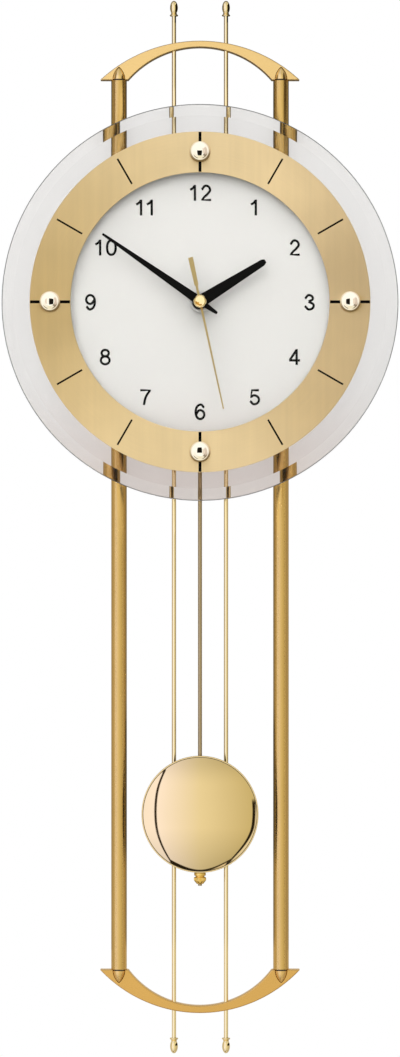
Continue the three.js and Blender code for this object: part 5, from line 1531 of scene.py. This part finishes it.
# A card beside a piece: it faces left if it starts at its front edge, and right if at its back edge
def sideCard(name, x, start, end, low, high, colour, reach=None):
    flatCard(name, [(x, start, low), (x, start, high), (x, end, high), (x, end, low)], colour, reach)


# Stops run from six o'clock by nine, twelve and three
def makeDialShade():
    shade = {"radius": 150.0, "back": 72.0, "front": 330.0, "reach": 345.0}
    stops = [
        (0.0, (1.14, 1.12, 1.08)), (0.08, (1.12, 1.08, 0.98)), (0.25, (0.4, 0.28, 0.04)),
        (0.5, (1.12, 1.12, 1.12)), (0.62, (1.0, 0.94, 0.78)), (0.69, (0.28, 0.2, 0.01)),
        (0.77, (0.3, 0.22, 0.01)), (0.87, (0.42, 0.32, 0.08)), (0.97, (1.08, 1.06, 1.02)),
        (1.0, (1.14, 1.12, 1.08)),
    ]
    ringCard("dial_shade", (0, arbor), shade["radius"], shade["back"], shade["front"], [(0, stops)],
             shade["reach"])


# A small tent of cards round each stud, with a dark opening towards the middle of the dial
def makeStudTents():
    brown, cream, pale, warm = (0.22, 0.16, 0.08), (0.96, 0.9, 0.76), (1.1, 1.09, 1.06), (1.08, 1.07, 1.03)
    foot = [
        (0.0, (0.2, 0.14, 0.06)), (0.16, (0.3, 0.22, 0.12)), (0.3, (0.85, 0.74, 0.55)),
        (0.5, (0.98, 0.92, 0.82)), (0.7, (0.75, 0.6, 0.42)), (0.8, (0.2, 0.14, 0.07)),
        (1.0, (0.2, 0.14, 0.06)),
    ]
    side = [
        (0.0, cream), (0.25, (1.05, 1.02, 0.96)), (0.5, pale), (0.75, (0.98, 0.92, 0.84)),
        (0.85, (0.8, 0.7, 0.58)), (1.0, cream),
    ]
    line = [
        (0.0, cream), (0.04, (0.9, 0.8, 0.6)), (0.06, brown), (0.13, brown), (0.18, (1.04, 1.0, 0.92)),
        (0.5, pale), (0.76, (1.0, 0.95, 0.88)), (0.83, brown), (0.93, brown), (0.96, (0.9, 0.8, 0.6)),
        (1.0, cream),
    ]
    top = [
        (0.0, (0.9, 0.82, 0.62)), (0.1, (0.97, 0.92, 0.8)), (0.3, warm), (0.62, warm),
        (0.67, (0.76, 0.64, 0.56)), (0.82, (0.68, 0.56, 0.48)), (0.87, (0.2, 0.15, 0.1)),
        (0.91, (0.9, 0.84, 0.72)), (1.0, (0.9, 0.82, 0.62)),
    ]
    tent = {"collar": 6.8, "gap": 0.05, "side": 5.4, "line": 6.7, "top": 7.5, "lid": 1.8, "reach": 8.5,
            "colour": (1.06, 1.05, 1.01)}
    dot = {"over": 1.6, "inward": 2.6, "left": 0.5, "low": 0.5, "halfWidth": 2.6, "halfHeight": 3.3,
           "colour": (0.012, 0.01, 0.008)}
    patch = {"under": 0.1, "aside": 4.6, "halfWidth": 1.7, "halfHeight": 3.2, "colour": (0.86, 0.74, 0.64)}
    ring = boxOf("dial_ring").front
    bands = [(0, foot), (ring + tent["side"], side), (ring + tent["line"], line), (ring + tent["top"], top)]
    collar, reach = tent["collar"], tent["reach"]
    for hour in studHours:
        stud = boxOf(f"ball_stud_{hour}")
        x, z = stud.x, stud.z
        lid = stud.front + tent["lid"]
        ringCard(f"stud_shade_{hour}", (x, z), collar, ring + tent["gap"], lid, bands, reach)
        frontCard(f"stud_lid_{hour}", x, z, lid, collar, collar, tent["colour"], reach)
        away = -patch["aside"] if hour == 9 else patch["aside"]
        frontCard(f"stud_patch_{hour}", x + away, z, lid - patch["under"], patch["halfWidth"],
                  patch["halfHeight"], patch["colour"], reach)
        toward = Vector((-x, arbor - z)).normalized() * dot["inward"]
        frontCard(f"stud_dot_{hour}", x + toward.x - dot["left"], z + toward.y - dot["low"],
                  stud.front + dot["over"], dot["halfWidth"], dot["halfHeight"], dot["colour"], reach)


# A bright lid over the hands' cap, with brown patches low on its left
def makeCapTent():
    tent = {"lid": 0.8, "half": 6.0, "patch": 0.7, "reach": 4.5, "colour": (1.1, 1.1, 1.1)}
    brown = (0.5, 0.27, 0.06)
    patches = [
        {"x": -4.0, "z": -2.3, "halfWidth": 1.4, "halfHeight": 2.0, "colour": brown},
        {"x": -1.7, "z": -3.3, "halfWidth": 0.9, "halfHeight": 2.4, "colour": (0.68, 0.4, 0.1)},
        {"x": 0.5, "z": -4.4, "halfWidth": 1.4, "halfHeight": 1.7, "colour": brown},
    ]
    front = boxOf("second_hand").front
    half, reach = tent["half"], tent["reach"]
    frontCard("cap_lid", 0, arbor, front + tent["lid"], half, half, tent["colour"], reach)
    for k, patch in enumerate(patches):
        frontCard(f"cap_patch_{k}", patch["x"], arbor + patch["z"], front + tent["patch"], patch["halfWidth"],
                  patch["halfHeight"], patch["colour"], reach)


# Dark strips to the right of each finial, and flags beside the top of the frame
def makeFlags():
    strip = {"aside": 9.0, "front": 12.0, "margin": 3.0, "collar": 0.8, "drop": 5.0, "reach": 16.0,
             "colour": (0.01, 0.008, 0.005)}
    flags = {
        "right_flag": {"x": 200, "start": 190, "end": 0, "colour": (0.1, 0.075, 0.04)},
        "left_flag": {"x": -200, "start": 0, "end": 110, "colour": (0.3, 0.25, 0.18)},
    }
    flagLow, flagHigh = 55, 230
    for end in ends:
        for side in sides:
            finial = boxOf(f"{end}_{side}_finial")
            near, far = finial.depth + strip["front"], finial.depth - strip["front"] / 2
            low = finial.low - strip["margin"] if end == "top" else finial.high - strip["drop"]
            high = finial.high + strip["margin"] if end == "top" else finial.high - strip["collar"]
            sideCard(f"strip_{end}_{side}", finial.x + strip["aside"], near, far, low, high, strip["colour"],
                     strip["reach"])
    for name, flag in flags.items():
        sideCard(name, flag["x"], flag["start"], flag["end"], flagLow, flagHigh, flag["colour"])


# The wall is white to the eye; the metal shows less of it, by height between the tubes
def makeWall():
    size = {"half": 3, "high": 2.5, "behind": 0.0006}
    looks = {"paint": (0.9, 0.9, 0.895, 1), "tint": (1.0, 0.95, 0.85), "aside": (0.52, 0.52, 0.52, 1),
             "throughGlass": 0.62}
    span = {"low": -0.6, "high": 0.2}
    band = {"narrow": 0.046, "wide": 0.08, "top": (0.027, 0.03), "bottom": (-0.492, -0.486), "edge": 0.013}
    heights = [(-0.56, 0.6), (-0.49, 0.66), (-0.482, 0.36), (-0.435, 0.34), (-0.42, 0.13), (-0.345, 0.13),
               (-0.325, 0.33), (0.0, 0.34), (0.015, 0.14), (0.2, 0.14)]
    wall = plane("wall", [(x, size["behind"], z) for x, z in (
        (-size["half"], floorHeight), (size["half"], floorHeight), (size["half"], size["high"]),
        (-size["half"], size["high"]))])
    material, tree = bareMaterial("wall white")
    path = put(tree, "ShaderNodeLightPath").outputs
    paint = put(tree, "ShaderNodeBsdfDiffuse", {"Color": looks["paint"]}).outputs[0]
    white = put(tree, "ShaderNodeEmission", {"Color": (1, 1, 1, 1)}).outputs[0]
    clear = put(tree, "ShaderNodeBsdfTransparent").outputs[0]
    place = splitAxes(tree, objectPlace(tree))
    along = evenRamp(tree, place["Z"], span["low"], span["high"])
    stops = [((z - span["low"]) / (span["high"] - span["low"]), (level,) * 3) for z, level in heights]
    between = colourBand(tree, along, stops)
    over = ramp(tree, place["Z"], *band["top"], band["narrow"], band["wide"])
    under = ramp(tree, place["Z"], *band["bottom"], band["wide"], band["narrow"])
    reach = sums(tree, "MAXIMUM", over, under)
    outer = ramp(tree, sums(tree, "ABSOLUTE", place["X"]), reach, sums(tree, "ADD", reach, band["edge"]))
    shade = blendColour(tree, outer, between, looks["aside"])
    dim = put(tree, "ShaderNodeEmission", {"Color": product(tree, shade, looks["tint"])}).outputs[0]
    mixed = mixShaders(tree, mirrored(tree, path), paint, dim)
    veiled = times(tree, path["Is Transmission Ray"], looks["throughGlass"])
    mixed = mixShaders(tree, sums(tree, "MAXIMUM", path["Is Camera Ray"], veiled), mixed, white)
    endMaterial(tree, mixShaders(tree, rearOf(tree), mixed, clear))
    wall.data.materials.append(material)
    wall.visible_shadow = False


def makeFloor():
    half = 4
    corners = [(-half, -half), (half, -half), (half, half), (-half, half)]
    floor = plane("floor", [(x, y, floorHeight) for x, y in corners])
    floor.data.materials.append(skin("floor pale", (0.86, 0.855, 0.84, 1), 0.7, 60.0, 0.05))
    floor.visible_glossy = False


def makeLamp():
    lamp = {"place": (-0.25, -1.35, 1.1), "aim": (0, 0, -0.07), "size": 2.3, "power": 20.5}
    light = bpy.data.lights.new("softbox", "AREA")
    light.size = lamp["size"]
    light.energy = lamp["power"]
    light.cycles.use_multiple_importance_sampling = False
    obj = bpy.data.objects.new("softbox", light)
    obj.location = lamp["place"]
    obj.rotation_euler = (Vector(lamp["aim"]) - obj.location).to_track_quat("-Z", "Y").to_euler()
    obj.visible_glossy = False
    obj.visible_camera = False
    scene.collection.objects.link(obj)


# Panels by direction, in degrees: azimuth to the right of the viewer's side, elevation up
studioPanels = [
    {"az": (-190, 190), "el": (-130, -60.4), "soft": 0.8, "flat": True, "stops": [(0, (1.1, 1.0, 0.85))]},
    {"az": (-190, -52), "el": (-50, 95), "soft": 6,
     "stops": [(0, (0.5, 0.45, 0.36)), (1, (0.72, 0.66, 0.55))]},
    {"az": (50, 190), "el": (-50, 95), "soft": 6,
     "stops": [(0, (0.56, 0.5, 0.38)), (1, (0.28, 0.24, 0.18))]},
    {"az": (-190, 190), "el": (24, 95), "soft": 8,
     "stops": [(0, (0.95, 0.94, 0.9)), (1, (0.8, 0.78, 0.72))]},
    {"az": (-46, -41), "el": (-70, 66), "soft": 0.5, "stops": [(0, (0.03, 0.022, 0.01))]},
    {"az": (-45, -9), "el": (-75, -40), "soft": 2.5, "stops": [(0, (0.03, 0.022, 0.01))]},
    {"az": (50, 55.5), "el": (-70, 9), "soft": 0.6, "stops": [(0, (0.02, 0.015, 0.008))]},
    {"az": (-62, -44.2), "el": (-60, 80), "soft": 0.5,
     "stops": [(0, (1.08, 1.12, 1.5)), (1, (1.12, 1.16, 1.6))]},
    {"az": (46, 57), "el": (8, 80), "soft": 3, "stops": [(0, (0.67, 0.63, 0.43))]},
    {"az": (-41.8, 51.2), "el": (-58.4, 66), "soft": 0.5, "flat": True,
     "stops": [(0, (1.13, 1.16, 1.6)), (0.46, (0.92, 0.91, 0.82)), (1, (0.67, 0.63, 0.43))]},
    {"az": (54.4, 70), "el": (-60, 60), "soft": 0.6,
     "stops": [(0, (1.0, 0.98, 0.95)), (0.6, (0.7, 0.65, 0.55))]},
]


def makeStudio():
    looks = {"dark": (0.025, 0.018, 0.008, 1), "ambient": (0.82, 0.82, 0.815, 1), "seen": (1, 1, 1, 1)}
    # Low and high in the studio the panels fade: elevations, then levels
    fading = {"low": (-55, -16, 0.72, 1.0), "high": (22, 52, 1.0, 0.76)}
    # The cards' edges bow in towards their corners
    bow = {"left": 1.1e-4, "right": 3.0e-4, "low": 8.5e-5, "straight": 12.0}
    toDegrees = 180 / math.pi
    world = bpy.data.worlds.new("studio")
    scene.world = world
    world.use_nodes = True
    world.cycles.sampling_method = "NONE"
    tree = world.node_tree
    tree.nodes.clear()
    ray = splitAxes(tree, put(tree, "ShaderNodeTexCoord").outputs["Generated"])
    ahead = times(tree, ray["Y"], -1.0)
    azimuth = times(tree, sums(tree, "ARCTAN2", ray["X"], ahead), toDegrees)
    elevation = times(tree, sums(tree, "ARCSINE", ray["Z"]), toDegrees)
    tilt = times(tree, sums(tree, "ARCTAN2", ray["Z"], ahead), toDegrees)
    past = sums(tree, "SUBTRACT", sums(tree, "ABSOLUTE", elevation), bow["straight"])
    lean = sums(tree, "MAXIMUM", past, 0.0)
    bend = times(tree, times(tree, lean, lean), ramp(tree, azimuth, -1, 1, bow["left"], bow["right"]))
    bowed = sums(tree, "MULTIPLY_ADD", azimuth, bend, azimuth)
    aside = times(tree, times(tree, azimuth, azimuth), bow["low"])
    tilt = sums(tree, "MULTIPLY_ADD", tilt, aside, tilt)
    fade = times(tree, evenRamp(tree, elevation, *fading["low"]), ramp(tree, elevation, *fading["high"]))
    shown = looks["dark"]
    for panel in studioPanels:
        mask = 1.0
        soft = panel["soft"]
        turn = bowed if soft < 1 else azimuth
        height = tilt if "flat" in panel else elevation
        for value, (start, end) in ((turn, panel["az"]), (height, panel["el"])):
            rise = ramp(tree, value, start - soft, start + soft)
            fall = ramp(tree, value, end - soft, end + soft, 1.0, 0.0)
            mask = times(tree, mask, times(tree, rise, fall))
        colour = colourBand(tree, evenRamp(tree, azimuth, *panel["az"]), panel["stops"])
        shown = blendColour(tree, mask, shown, scaled(tree, colour, fade))
    path = put(tree, "ShaderNodeLightPath").outputs
    lit = blendColour(tree, mirrored(tree, path), looks["ambient"], shown)
    direct = sums(tree, "LESS_THAN", path["Diffuse Depth"], 0.5)
    through = times(tree, path["Is Transmission Ray"], direct)
    plain = sums(tree, "MAXIMUM", path["Is Camera Ray"], through)
    sky = put(tree, "ShaderNodeBackground", {"Color": blendColour(tree, plain, lit, looks["seen"])})
    put(tree, "ShaderNodeOutputWorld", {"Surface": sky.outputs[0]})


makeWall()
makeFloor()
makeDialShade()
makeStudTents()
makeCapTent()
makeFlags()
makeLamp()
makeStudio()
print("studio set")
